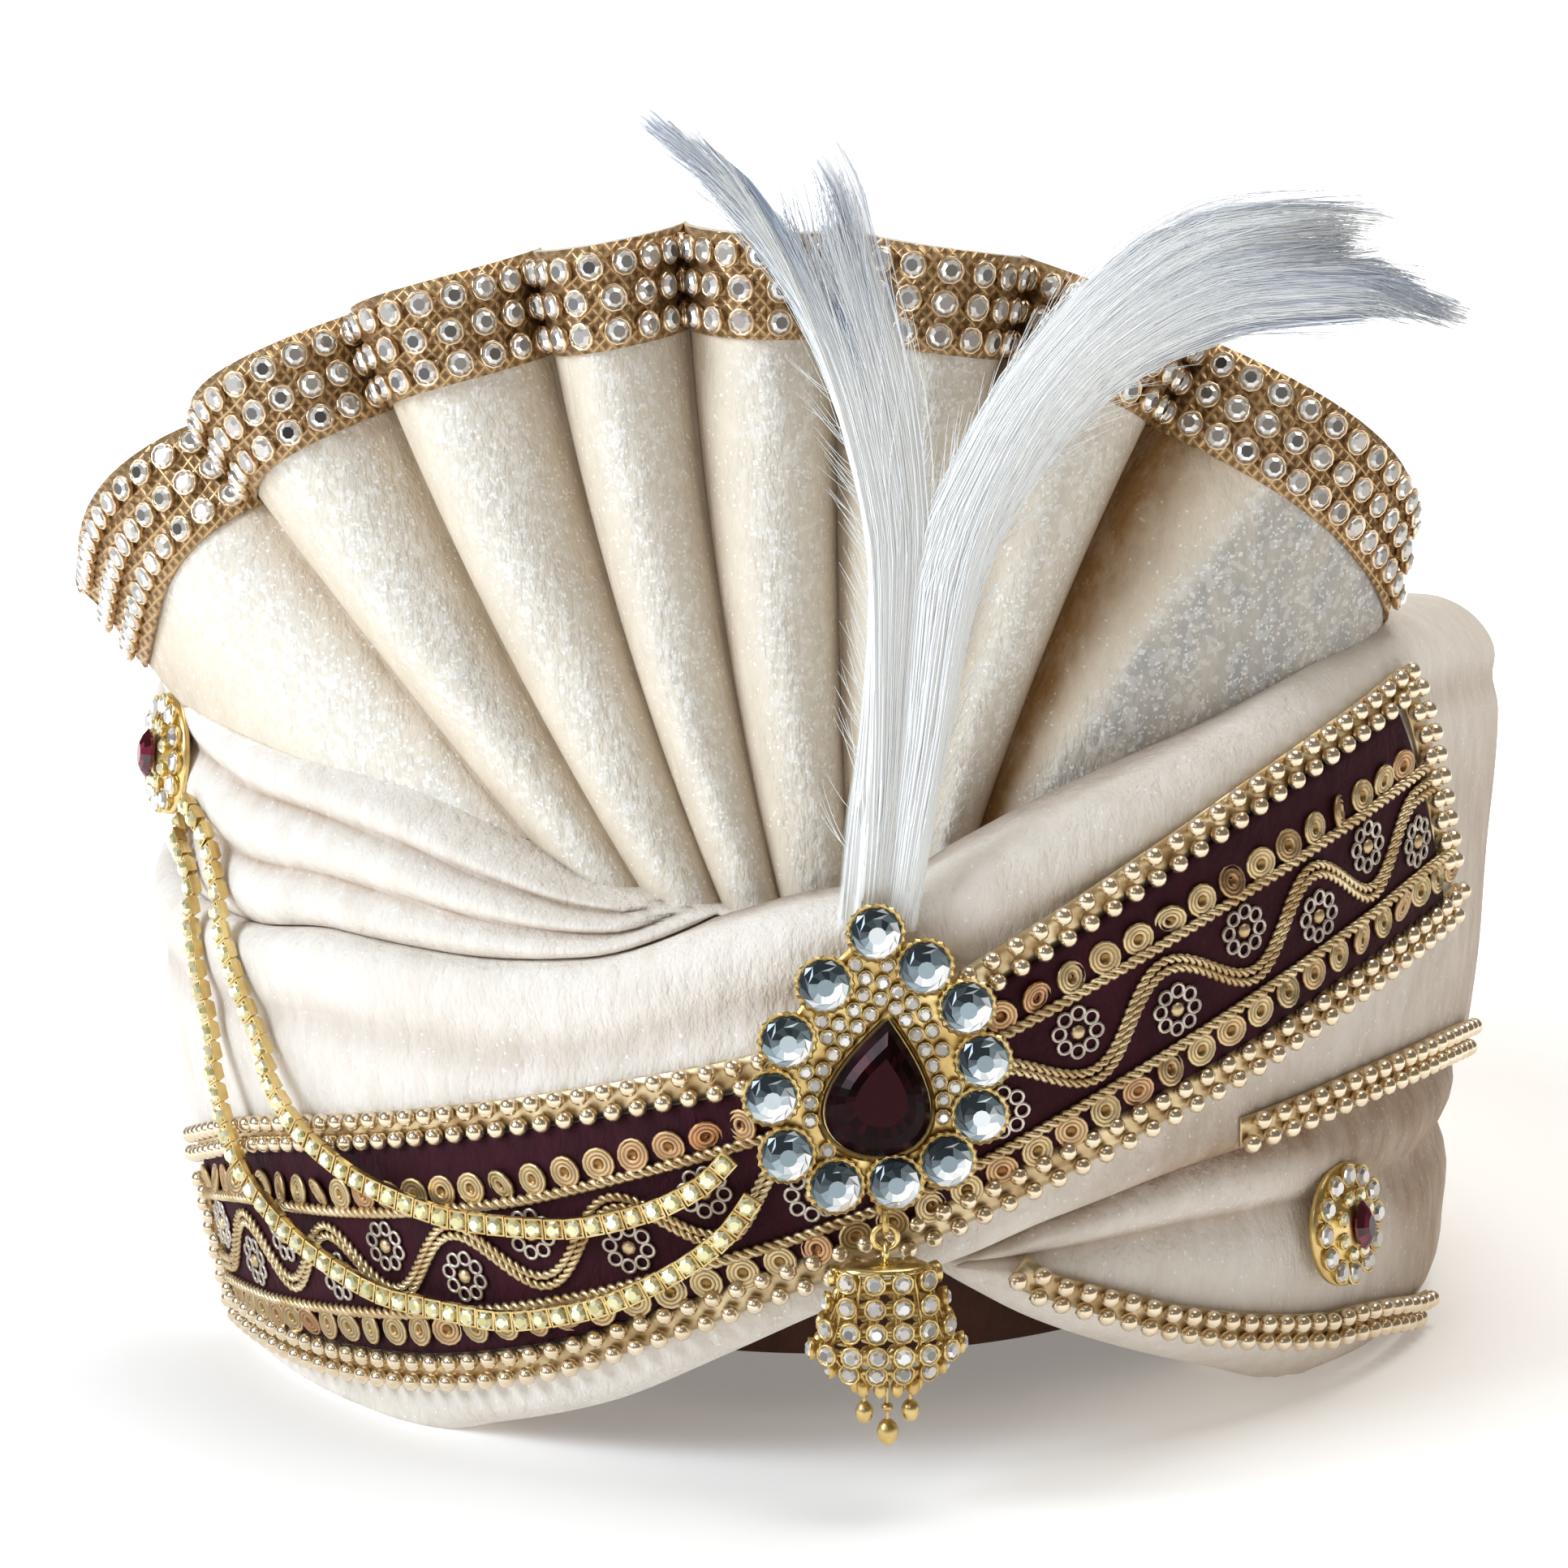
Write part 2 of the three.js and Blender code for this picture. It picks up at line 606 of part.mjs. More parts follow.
/** Bead rows along the band's lower edge and up its left end. */
function lowerTrim() {
  const spots = Array.from({ length: 23 }, (_, i) => bandSpot(1 - (1 - TRIM.end) * (i / 22), 0, trimMargin));
  const end = Array.from({ length: 4 }, (_, i) => bandSpot(TRIM.end, mix(0.25, 0.8, i / 3), trimMargin));
  return beadRod([...spots, ...end], overFace);
}

/** Bead rows a given height above an edge, resampled to even steps. */
function edgeTrim(rows, edge, faceAt, steps, lift) {
  const above = curveOf(rows, 'turn', 'above');
  const [first, last] = [rows[0].turn, rows[rows.length - 1].turn];
  return beadRod(Array.from({ length: steps + 1 }, (_, i) => {
    const turn = mix(first, last, i / steps);
    return { turn, height: Math.max(0, edge(turn)) + above(turn) };
  }), faceAt, lift);
}

// Pleated fan and its lace

const fanColumns = FAN.map((row, index) => ({ ...row, index }));
const fanTip = curveOf(fanColumns, 'index', 'tip');
const fanBase = curveOf(fanColumns, 'index', 'base');
const fanRadius = curveOf(fanColumns, 'index', 'radius');
const fanStart = curveOf(fanColumns, 'index', 'start');
const fanBold = curveOf(fanColumns, 'index', 'bold');

/** Point on the fan at a count of pleats and a radius, pushed out from its middle face. */
function fanPoint(pleat, radius, push) {
  const share = (radius - fanStart(pleat)) / (fanRadius(pleat) - fanStart(pleat));
  const angle = radians(mix(fanBase(pleat), fanTip(pleat), share));
  const x = FAN_CENTRE.x + radius * Math.cos(angle);
  const z = FAN_CENTRE.z + radius * Math.sin(angle);
  const half = (x < 0 ? FAN_PLAN.left : FAN_PLAN.right) + FAN_PLAN.flare * (z - FAN_PLAN.flareFrom);
  const y = -FAN_PLAN.depth * Math.sqrt(Math.max(0.03, 1 - (x / half) ** 2)) + FAN_CLOTH.lean * (z - FAN_PLAN.flareFrom);
  const outward = new THREE.Vector3(x / half ** 2, y / FAN_PLAN.depth ** 2, 0).normalize();
  const ridge = Math.abs(Math.sin(Math.PI * pleat)) ** FAN_CLOTH.ridge - 0.5;
  const depth = mix(FAN_CLOTH.baseDepth, FAN_CLOTH.tipDepth, share) * fanBold(pleat);
  return new THREE.Vector3(x, y, z).addScaledVector(outward, depth * ridge + push);
}

/** Counts of pleats at which the fan is sampled: valleys, flanks and ridges. */
function fanSamples() {
  const samples = [];
  for (let pleat = 0; pleat < FAN.length - 1; pleat += 1) samples.push(...FAN_STEPS.across.map((f) => pleat + f));
  return [...samples, FAN.length - 1];
}

function fanCloth() {
  const rowsAt = (pleat) => {
    const laceFoot = fanRadius(pleat) - LACE.width;
    const rows = Array.from({ length: FAN_STEPS.along + 1 }, (_, i) => mix(fanStart(pleat), laceFoot, i / FAN_STEPS.along));
    return [...rows, fanRadius(pleat)];
  };
  const grid = (push) => fanSamples().map((pleat) => rowsAt(pleat).map((radius) => fanPoint(pleat, radius, push)));
  const whole = solidOf(plate(grid(FAN_CLOTH.wall / 2), grid(-FAN_CLOTH.wall / 2)));
  return whole.subtract(underGrown).subtract(overGrown);
}

function fanLace() {
  const foot = FAN_CLOTH.wall / 2 + LACE.lift;
  const grid = (push) => fanSamples().map((pleat) =>
    [fanRadius(pleat) - LACE.width, fanRadius(pleat)].map((radius) => fanPoint(pleat, radius, push)));
  return plate(grid(foot + LACE.wall), grid(foot));
}

// Main brooch, in its own frame: X right, Y up, Z out from the cloth

/** Outline of a teardrop with its tip up, centred on its own box. */
function teardropOutline(width, height, sides) {
  return Array.from({ length: sides }, (_, i) => {
    const a = (2 * Math.PI * i) / sides;
    const up = Math.cos(a);
    const across = Math.sin(a) * Math.sin(a / 2) ** 1.15;
    return new THREE.Vector2((across * width) / 1.52, (up * height) / 2);
  });
}

/** Faceted stone on an outline: flat base, girdle, sloping crown and table. */
function cutStone(outline, { girdle, crown, table }) {
  const level = (scale, z) => outline.map((p) => new THREE.Vector3(p.x * scale, p.y * scale, z));
  return loft([level(0.9, 0), level(1, girdle), level(table, girdle + crown)]);
}

/** Round stone with a flat base, its girdle, a sloping crown and a table. */
function roundStone() {
  const { radius, sides, table, crown, pavilion } = ROUND_STONE;
  return turned([[0, 0], [radius * 0.88, 0], [radius, pavilion], [radius * table, pavilion + crown], [0, pavilion + crown]], sides);
}

/** Ring of wire: a torus whose axis is turned to the wanted direction. */
function wireRing(radius, axis) {
  const ring = new THREE.TorusGeometry(radius, WIRE, 5, 12);
  if (axis === 'x') ring.rotateY(Math.PI / 2);
  if (axis === 'y') ring.rotateX(Math.PI / 2);
  return ring;
}

function broochSetting() {
  const outline = STONE_RING.map(({ x, y }) => new THREE.Vector2(x, y).multiplyScalar(BROOCH.backing)).reverse();
  const back = new THREE.ExtrudeGeometry(new THREE.Shape(outline), { depth: BROOCH.plate, bevelEnabled: false });
  const collets = STONE_RING.map(({ x, y }) => {
    const collet = new THREE.CylinderGeometry(COLLET.radius, COLLET.radius, COLLET.height + 0.6, COLLET.sides);
    return collet.rotateX(Math.PI / 2).translate(x, y, BROOCH.plate - 0.6 + (COLLET.height + 0.6) / 2);
  });
  const rim = teardropOutline(TEARDROP.width + 2.4, TEARDROP.height + 2.8, 16);
  const bezel = new THREE.ExtrudeGeometry(new THREE.Shape(rim), { depth: COLLET.height + 0.6, bevelEnabled: false });
  bezel.rotateZ(radians(TEARDROP.lean)).translate(0.6, -5, BROOCH.plate - 0.6);
  const eye = wireRing(LINK.eye, 'x');
  eye.translate(DROP_AXIS.x - BROOCH.x, DROP_AXIS.eyeZ - BROOCH.z, -DROP_AXIS.y - BROOCH.standOff);
  const lug = new THREE.BoxGeometry(LUG.width, LUG.height, LUG.depth);
  lug.translate(DROP_AXIS.x - BROOCH.x, DROP_AXIS.eyeZ + LUG.height / 2 - BROOCH.z, LUG.out);
  return fuse([back, ...collets, bezel, lug, eye]);
}

// Drop: a shallow bell with three short strands, on its own loop

const jumpZ = DROP_AXIS.eyeZ - LINK.eye + 2 * WIRE + LINK.clearance - LINK.jump;
const loopZ = jumpZ - LINK.jump + 2 * WIRE + LINK.clearance - LINK.loop;
const bellTop = loopZ - LINK.loop - 0.2;

function dropBody() {
  const profile = [[0, 0], ...DROP_PROFILE.map((row) => [row.half, -row.below])];
  const bottom = DROP_PROFILE[DROP_PROFILE.length - 1].below;
  const bell = turned([...profile, [0, -bottom]], 12).scale(1, DROP_DEPTH, 1);
  const loop = wireRing(LINK.loop, 'x').translate(0, 0, loopZ - bellTop);
  const strands = STRANDS.flatMap(({ across, length, bead }) => {
    const wire = new THREE.CylinderGeometry(0.5, 0.5, length, 6).rotateX(Math.PI / 2);
    wire.translate(across, 0, -bottom + 0.5 - length / 2);
    const pearl = new THREE.SphereGeometry(bead, 10, 5).rotateX(Math.PI / 2).scale(1, 1, 1.25);
    pearl.translate(across, 0, -bottom + 0.5 - length);
    return [wire, pearl];
  });
  return fuse([bell, loop, ...strands]);
}

// Cup chains: tubes that lie on the cloth and over the band

/** Height of everything that lies on the cloth under a chain. */
function chainGround(turn, height) {
  const inBand = turn > BAND_ENDS.leftHigh && height > bandLow(turn) - 4 && height < bandHigh(turn) + 4;
  return clothFace(turn, height) + (inBand ? GAP + TRIM.height : 0);
}

function chainTube(rows) {
  const spine = rows.map((row, index) => ({ ...row, index }));
  const turnAt = curveOf(spine, 'index', 'turn');
  const heightAt = curveOf(spine, 'index', 'height');
  const last = rows.length - 1;
  const ground = (s) => Math.max(...[-0.35, -0.15, 0, 0.15, 0.35].map((d) => chainGround(turnAt(s + d), heightAt(s + d))));
  const points = Array.from({ length: 3 * last + 1 }, (_, i) => {
    const s = i / 3;
    return around(turnAt(s), ground(s) + CHAIN.rest + CHAIN.radius, heightAt(s));
  });
  const section = new THREE.Shape(Array.from({ length: CHAIN.sides }, (_, k) => {
    const a = (2 * Math.PI * k) / CHAIN.sides;
    return new THREE.Vector2(CHAIN.radius * Math.cos(a), CHAIN.radius * Math.sin(a));
  }));
  const path = new THREE.CatmullRomCurve3(points);
  return new THREE.ExtrudeGeometry(section, { steps: CHAIN.steps, extrudePath: path, bevelEnabled: false });
}

// Side brooches, in their own frame: Z out from the cloth

function sideSetting() {
  const { radius, rim, dome, sides } = SIDE_BROOCH;
  return turned([[0, 0], [radius, 0], [radius, rim], [radius * 0.8, dome * 0.62], [radius * 0.5, dome], [0, dome]], sides);
}

function sideStone() {
  const outline = Array.from({ length: 12 }, (_, i) => {
    const a = (2 * Math.PI * i) / 12;
    const across = Math.sin(a) * Math.abs(Math.sin(a)) ** 0.4;
    return new THREE.Vector2((across * SIDE_BROOCH.stoneWidth) / 2, (Math.cos(a) * SIDE_BROOCH.stoneLength) / 2);
  });
  return cutStone(outline, { girdle: 0.6, crown: 1.6, table: 0.5 });
}

/** Group that stands on the cloth at a turn and height, its Z pointing out along the cloth's normal. */
function seat({ turn, height }, lift) {
  const step = 2;
  const at = (t, z) => around(t, underFace(t, z), z);
  const along = at(turn + step, height).sub(at(turn - step, height)).normalize();
  const up = at(turn, height + 3 * step).sub(at(turn, height - 3 * step)).normalize();
  const out = along.clone().cross(up).normalize();
  const rise = out.clone().cross(along).normalize();
  const group = new THREE.Group();
  group.setRotationFromMatrix(new THREE.Matrix4().makeBasis(along, rise, out));
  group.position.copy(at(turn, height).addScaledVector(out, lift));
  return group;
}

// Plumes: a flat vane along a curved quill, with locks that leave its edges

function plume(rows) {
  const spine = rows.map((row, index) => ({ ...row, index }));
  const last = rows.length - 1;
  const [xAt, yAt, zAt, wideAt] = ['x', 'y', 'z', 'width'].map((key) => curveOf(spine, 'index', key));
  const frameAt = (s) => {
    const point = new THREE.Vector3(xAt(s), yAt(s), zAt(s));
    const ahead = new THREE.Vector3(xAt(s + 0.1), yAt(s + 0.1), zAt(s + 0.1));
    const behind = new THREE.Vector3(xAt(s - 0.1), yAt(s - 0.1), zAt(s - 0.1));
    const along = ahead.sub(behind).normalize();
    const side = along.clone().cross(new THREE.Vector3(0, 1, 0)).normalize();
    return { point, along, side, face: side.clone().cross(along).normalize() };
  };
  const vane = loft(Array.from({ length: PLUME.stations + 1 }, (_, i) => {
    const s = (last * i) / PLUME.stations;
    const { point, side, face } = frameAt(s);
    return Array.from({ length: PLUME.sides }, (__, k) => {
      const a = (2 * Math.PI * k) / PLUME.sides;
      const thick = Math.min(PLUME.thickness, wideAt(s)) / 2;
      const offset = side.clone().multiplyScalar((wideAt(s) / 2) * Math.cos(a));
      return point.clone().add(offset.addScaledVector(face, thick * Math.sin(a)));
    });
  }));
  const locks = [];
  for (let i = 1; i <= PLUME.locks; i += 1) {
    const s = mix(0.3 * last, 0.95 * last, i / PLUME.locks);
    for (const hand of [-1, 1]) {
      const { point, along, side, face } = frameAt(s - (hand > 0 ? 0.25 : 0));
      const away = along.clone().addScaledVector(side, 0.75 * hand).normalize();
      const root = point.clone().addScaledVector(side, hand * wideAt(s) * 0.22);
      const length = PLUME.lockLength * (0.75 + 0.25 * Math.cos(2.4 * i + hand));
      const across = away.clone().cross(face).normalize();
      const levels = [{ share: 0, size: 1 }, { share: 0.55, size: 0.8 }, { share: 1, size: 0.12 }];
      locks.push(loft(levels.map(({ share, size }) => Array.from({ length: 4 }, (_, k) => {
        const a = (2 * Math.PI * k) / 4;
        const wide = PLUME.lockRadius * size;
        const base = root.clone().addScaledVector(away, length * share);
        return base.addScaledVector(across, wide * Math.cos(a)).addScaledVector(face, 0.55 * wide * Math.sin(a));
      }))));
    }
  }
  return fuse([vane, ...locks]);
}

// The turban as a scene graph

const turban = new THREE.Group();

/** Named mesh with its own material, put into a group. */
function piece(name, geometry, look, parent = turban) {
  const mesh = new THREE.Mesh(tidy(geometry), new THREE.MeshStandardMaterial(look));
  mesh.name = name;
  parent.add(mesh);
  return mesh;
}

piece('inner_band', innerBand, LOOKS.lining);
piece('crown', crownDome(), LOOKS.cream);
piece('under_wrap', underWrap, LOOKS.cream);
piece('over_wrap', overWrap, LOOKS.cream);
piece('fan', geometryOf(fanCloth()), LOOKS.ivory);
piece('fan_lace', fanLace(), LOOKS.pearlGold);
piece('brocade_band', brocadeCloth(), LOOKS.maroon);
piece('bead_trim_upper', upperTrim(), LOOKS.pearlGold);
piece('bead_trim_lower', lowerTrim(), LOOKS.pearlGold);
piece('bead_trim_right_upper', edgeTrim(RIGHT_TRIM_UPPER, overLow, overFace, 11, GAP), LOOKS.pearlGold);
piece('bead_trim_right_lower', edgeTrim(RIGHT_TRIM_LOWER, underLow, underFace, 12, 3 * GAP), LOOKS.pearlGold);

const brooch = new THREE.Group();
brooch.position.set(BROOCH.x, -BROOCH.standOff, BROOCH.z);
brooch.rotation.x = Math.PI / 2;
turban.add(brooch);
piece('brooch_setting', broochSetting(), LOOKS.gold, brooch);
const stoneSeat = BROOCH.plate + COLLET.height + 0.2;
const teardrop = piece('teardrop_stone', cutStone(teardropOutline(TEARDROP.width, TEARDROP.height, 16), TEARDROP), LOOKS.garnet, brooch);
teardrop.rotation.z = radians(TEARDROP.lean);
teardrop.position.set(0.6, -5, stoneSeat);
STONE_RING.forEach(({ x, y }, i) => {
  const stone = piece(`round_stone_${String(i + 1).padStart(2, '0')}`, roundStone(), LOOKS.crystal, brooch);
  stone.position.set(x, y, stoneSeat);
});

piece('jump_ring', wireRing(LINK.jump, 'y'), LOOKS.gold).position.set(DROP_AXIS.x, DROP_AXIS.y, jumpZ);
piece('drop', dropBody(), LOOKS.gold).position.set(DROP_AXIS.x, DROP_AXIS.y, bellTop);
piece('chain_outer', chainTube(CHAIN_OUTER), LOOKS.gold);
piece('chain_inner', chainTube(CHAIN_INNER), LOOKS.gold);

for (const [side, spot] of [['left', SIDE_LEFT], ['right', SIDE_RIGHT]]) {
  const group = seat(spot, spot.lift);
  turban.add(group);
  piece(`side_brooch_${side}`, sideSetting(), LOOKS.gold, group);
  piece(`side_stone_${side}`, sideStone(), LOOKS.garnet, group).position.z = SIDE_BROOCH.dome + 0.2;
}

piece('feather_left', plume(FEATHER_LEFT), LOOKS.plume);
piece('feather_right', plume(FEATHER_RIGHT), LOOKS.plume);

export default turban;
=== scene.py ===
# %% [markdown]
# # A tied turban, dressed
# This lesson takes the plain solids of a wedding turban and gives them their cloth, beads, stones and
# plumes. The solids come first, because every visible piece stands for a solid or lies on one.
# Lengths in this file are millimetres until the very last step, where a mesh is written in metres.

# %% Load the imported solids
import itertools

import bpy
import numpy as np
from mathutils import Matrix


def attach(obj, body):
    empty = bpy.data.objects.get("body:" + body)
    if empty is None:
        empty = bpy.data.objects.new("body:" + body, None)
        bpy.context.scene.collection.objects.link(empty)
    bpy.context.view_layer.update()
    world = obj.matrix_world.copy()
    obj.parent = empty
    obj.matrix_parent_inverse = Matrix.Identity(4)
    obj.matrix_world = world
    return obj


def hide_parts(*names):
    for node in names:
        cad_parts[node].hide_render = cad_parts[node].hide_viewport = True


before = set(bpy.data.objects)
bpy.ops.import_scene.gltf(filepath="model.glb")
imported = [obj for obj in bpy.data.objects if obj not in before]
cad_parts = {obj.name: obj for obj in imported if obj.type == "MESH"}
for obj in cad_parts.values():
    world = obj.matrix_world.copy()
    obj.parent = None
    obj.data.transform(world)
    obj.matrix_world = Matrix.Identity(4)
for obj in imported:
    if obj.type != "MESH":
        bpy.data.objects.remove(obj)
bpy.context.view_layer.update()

MM = 0.001
rng = np.random.default_rng(20)

# %% [markdown]
# A table of a few measured rows is easier to correct than a formula, so the turban's edges are tables.
# A cubic through the rows gives every place between them. A plain spline would swing past a row and
# show as a bump in the cloth, so the slope at a row is held to the gentler of its two neighbours.

# %% Curves through short tables


def mix(a, b, share):
    """Value a share of the way from a to b."""
    return a + (b - a) * share


def curve_of(rows, column=1, period=0.0):
    """Smooth curve through one column of a table whose first column is the place.

    Each span is a cubic. Its slope at a row is the harmonic mean 2ab / (a + b) of the chords a and b
    beside the row, or zero where they have different signs.
    """
    table = np.array(rows, float)
    xs = table[:, 0]
    ys = table[:, column]
    if period:
        xs = np.concatenate([xs - period, xs, xs + period])
        ys = np.tile(ys, 3)
    chord = np.diff(ys) / np.diff(xs)
    product = chord[:-1] * chord[1:]
    total = np.where(product > 0, chord[:-1] + chord[1:], 1.0)
    inner = np.where(product > 0, 2 * product / total, 0.0)
    slope = np.concatenate([chord[:1], inner, chord[-1:]])

    def value(place):
        x = np.clip(np.asarray(place, float), xs[0], xs[-1])
        i = np.clip(np.searchsorted(xs, x) - 1, 0, len(xs) - 2)
        step = xs[i + 1] - xs[i]
        t = (x - xs[i]) / step
        leave = t * (1 - t) ** 2
        arrive = t * t * (t - 1)
        return mix(ys[i], ys[i + 1], t * t * (3 - 2 * t)) + step * (slope[i] * leave + slope[i + 1] * arrive)

    return value


print("between rows of a table:", curve_of([(0, 0), (1, 1), (3, 2)])([0.5, 1.0, 2.0]).round(3))

# %% [markdown]
# A shape here is an array of points and a few arrays of faces. Bevels and booleans could make the same
# forms one by one, but arrays make them all at once. A grid of points makes quads, and the signed volume
# tells which way the faces of a closed shape look, so a shape that came out inside out is turned round.

# %% Faces, areas and volumes


def within_share(value, low, high):
    """Place of a value between two limits, held to 0 and 1."""
    return np.clip((value - low) / (high - low), 0, 1)


def unit(vectors):
    """Vectors of length one."""
    return vectors / np.maximum(np.linalg.norm(vectors, axis=-1, keepdims=True), 1e-9)


def grid_faces(rows, columns, wrap_rows=False, wrap_columns=False):
    """Quads of a grid of points numbered row by row. A wrapped direction closes on itself."""
    i = np.arange(rows if wrap_rows else rows - 1)[:, None]
    j = np.arange(columns if wrap_columns else columns - 1)[None, :]
    below = (i + 1) % rows
    beside = (j + 1) % columns
    corners = [i * columns + j, i * columns + beside, below * columns + beside, below * columns + j]
    return np.stack(np.broadcast_arrays(*corners), -1).reshape(-1, 4)


def triangles_of(shape):
    """Corners a, b and c of the triangles that fans over a shape's faces give, a few arrays at a time."""
    points, faces = shape
    for f in faces:
        for k in range(1, f.shape[1] - 1):
            yield points[f[:, 0]], points[f[:, k]], points[f[:, k + 1]]


def outward(shape):
    """The shape with its faces turned out: six times its volume, the sum of a . (b x c), is positive."""
    points, faces = shape
    volume = sum(float((a * np.cross(b, c)).sum()) for a, b, c in triangles_of(shape))
    return shape if volume >= 0 else (points, [f[:, ::-1] for f in faces])


def half_area(shape):
    """Half of a shape's surface in square metres, as for a thin closed sheet: the sum of |ab x ac| / 4."""
    spans = sum(np.linalg.norm(np.cross(b - a, c - a), axis=1).sum() for a, b, c in triangles_of(shape))
    return float(spans) / 4 * MM * MM


# %% [markdown]
# Most jewellery is turned, stacked or drawn: a cup is a profile turned about its axis, a plate is an outline
# in a few layers, a wire is a circle carried along a path. All three are rows of rings with a flat face on
# each end, so they share one skin.

# %% Rods: turned, layered and swept


def rod(rings):
    """Skin through an array of rings, (rings, sides, 3), with a flat face on each end."""
    count, sides, _ = rings.shape
    first = np.arange(sides)[None, ::-1]
    last = (count - 1) * sides + np.arange(sides)[None, :]
    return outward((rings.reshape(-1, 3), [grid_faces(count, sides, wrap_columns=True), first, last]))


def turned(profile, sides):
    """Body turned about Z from rows of (radius, height), closed by a flat face at each end."""
    table = np.array(profile, float)
    angle = 2 * np.pi * np.arange(sides) / sides
    ring = np.stack([np.cos(angle), np.sin(angle)], 1)
    flat = table[:, 0][:, None, None] * ring[None]
    height = np.broadcast_to(table[:, 1][:, None, None], (len(table), sides, 1))
    return rod(np.concatenate([flat, height], 2))


def turned_to(radius, height, profile, sides):
    """Body turned about Z from rows of shares of a radius and of a height."""
    return turned(np.array(profile, float) * [radius, height], sides)


def layered(outline, levels, middle=(0.0, 0.0)):
    """Rod through copies of a flat outline, each scaled about a middle and set at a height."""
    table = np.array(levels, float)[:, :, None, None]
    flat = np.asarray(middle) + (outline - middle)[None] * table[:, 0]
    height = np.broadcast_to(table[:, 1], (len(table), len(outline), 1))
    return rod(np.concatenate([flat, height], 2))


def swept(path, radius, sides, lean):
    """Rod along a path: at each point a ring of the given radius, square to the path."""
    along = unit(np.gradient(path, axis=0))
    side = unit(np.cross(along, lean))
    up = np.cross(side, along)
    angle = 2 * np.pi * (np.arange(sides) + 0.5) / sides
    reach = np.broadcast_to(radius, (len(path),))[:, None, None]
    around_path = np.cos(angle)[None, :, None] * side[:, None] + np.sin(angle)[None, :, None] * up[:, None]
    return rod(path[:, None] + reach * around_path)


# %% [markdown]
# Cloth is two grids, its face and its back, joined round the border, so that it has a real thickness. What
# repeats, such as beads and cups, is one small shape copied by a single product of arrays.

# %% Plates, copies and unions


def plate(front, back):
    """Closed sheet between two grids of points, (columns, rows, 3), joined round their border."""
    columns, rows, _ = front.shape
    face = grid_faces(columns, rows)
    number = np.arange(columns * rows).reshape(columns, rows)
    border = np.concatenate([number[0], number[1:, -1], number[-1, -2::-1], number[-2:0:-1, 0]])
    beside = np.roll(border, -1)
    rim = np.stack([beside, border, border + columns * rows, beside + columns * rows], 1)
    points = np.concatenate([front.reshape(-1, 3), back.reshape(-1, 3)])
    return outward((points, [face, face[:, ::-1] + columns * rows, rim]))


def repeat(shape, places, frames, sizes=1.0):
    """Copies of a small shape, its X, Y and Z turned to the three rows of each frame."""
    points, faces = shape
    count = len(places)
    scaled = np.broadcast_to(points[None] * np.reshape(sizes, (-1, 1, 1)), (count,) + points.shape)
    copies = np.einsum("npk,nkc->npc", scaled, frames) + places[:, None]
    shift = np.arange(count)[:, None, None] * len(points)
    return copies.reshape(-1, 3), [(f[None] + shift).reshape(-1, f.shape[1]) for f in faces]


def together(*shapes):
    """Several shapes as one."""
    points = []
    faces = []
    start = 0
    for shape_points, shape_faces in shapes:
        points.append(shape_points)
        faces += [f + start for f in shape_faces]
        start += len(shape_points)
    return np.concatenate(points), faces


# %% [markdown]
# A piece is a mesh that rides on one of the solids' bodies and has one finish. The arrays go into the mesh
# with foreach_set, which takes a whole array in one call, where adding vertices one by one would be slow.

# %% Pieces from shapes


def new_piece(name, shape, finish, slot, body="turban", smooth=True, **fields):
    """Object at the origin from a shape in millimetres, riding on a body.

    A field is a value for each point, or for each face, that the finish can read.
    """
    points, faces = shape
    corners = np.concatenate([f.ravel() for f in faces]).astype(np.int32)
    counts = np.concatenate([np.full(len(f), f.shape[1]) for f in faces])
    starts = (np.cumsum(counts) - counts).astype(np.int32)
    mesh = bpy.data.meshes.new(name)
    mesh.vertices.add(len(points))
    mesh.vertices.foreach_set("co", (points * MM).astype(np.float32).ravel())
    mesh.loops.add(len(corners))
    mesh.loops.foreach_set("vertex_index", corners)
    mesh.polygons.add(len(counts))
    mesh.polygons.foreach_set("loop_start", starts)
    mesh.update(calc_edges=True)
    mesh.polygons.foreach_set("use_smooth", np.full(len(counts), smooth))
    for field, values in fields.items():
        domain = "POINT" if len(values) == len(points) else "FACE"
        layer = mesh.attributes.new(field, "FLOAT", domain)
        layer.data.foreach_set("value", np.asarray(values, np.float32))
    mesh.materials.append(finish)
    piece = bpy.data.objects.new(name, mesh)
    bpy.context.scene.collection.objects.link(piece)
    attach(piece, body)
    triangles = int((counts - 2).sum())
    print(f"{name}: {triangles} triangles, half its surface {half_area(shape):.4f} m2")
    return piece


def glass_piece(name, shape, look, facet, slot="crystal_glass", body="turban"):
    """Cut stones as one flat-shaded piece, with a tone for each of their faces."""
    return new_piece(name, shape, look, slot, body, smooth=False, facet=facet)


# %% [markdown]
# A finish is a small sum: so much of this noise, less of that one, more in the creases. Written as
# nodes it fills a page, so one class stands for a value in the node tree, and adding two values adds
# the Math node. Everything else comes from one method that adds any node by its type.

# %% Finishes as sums


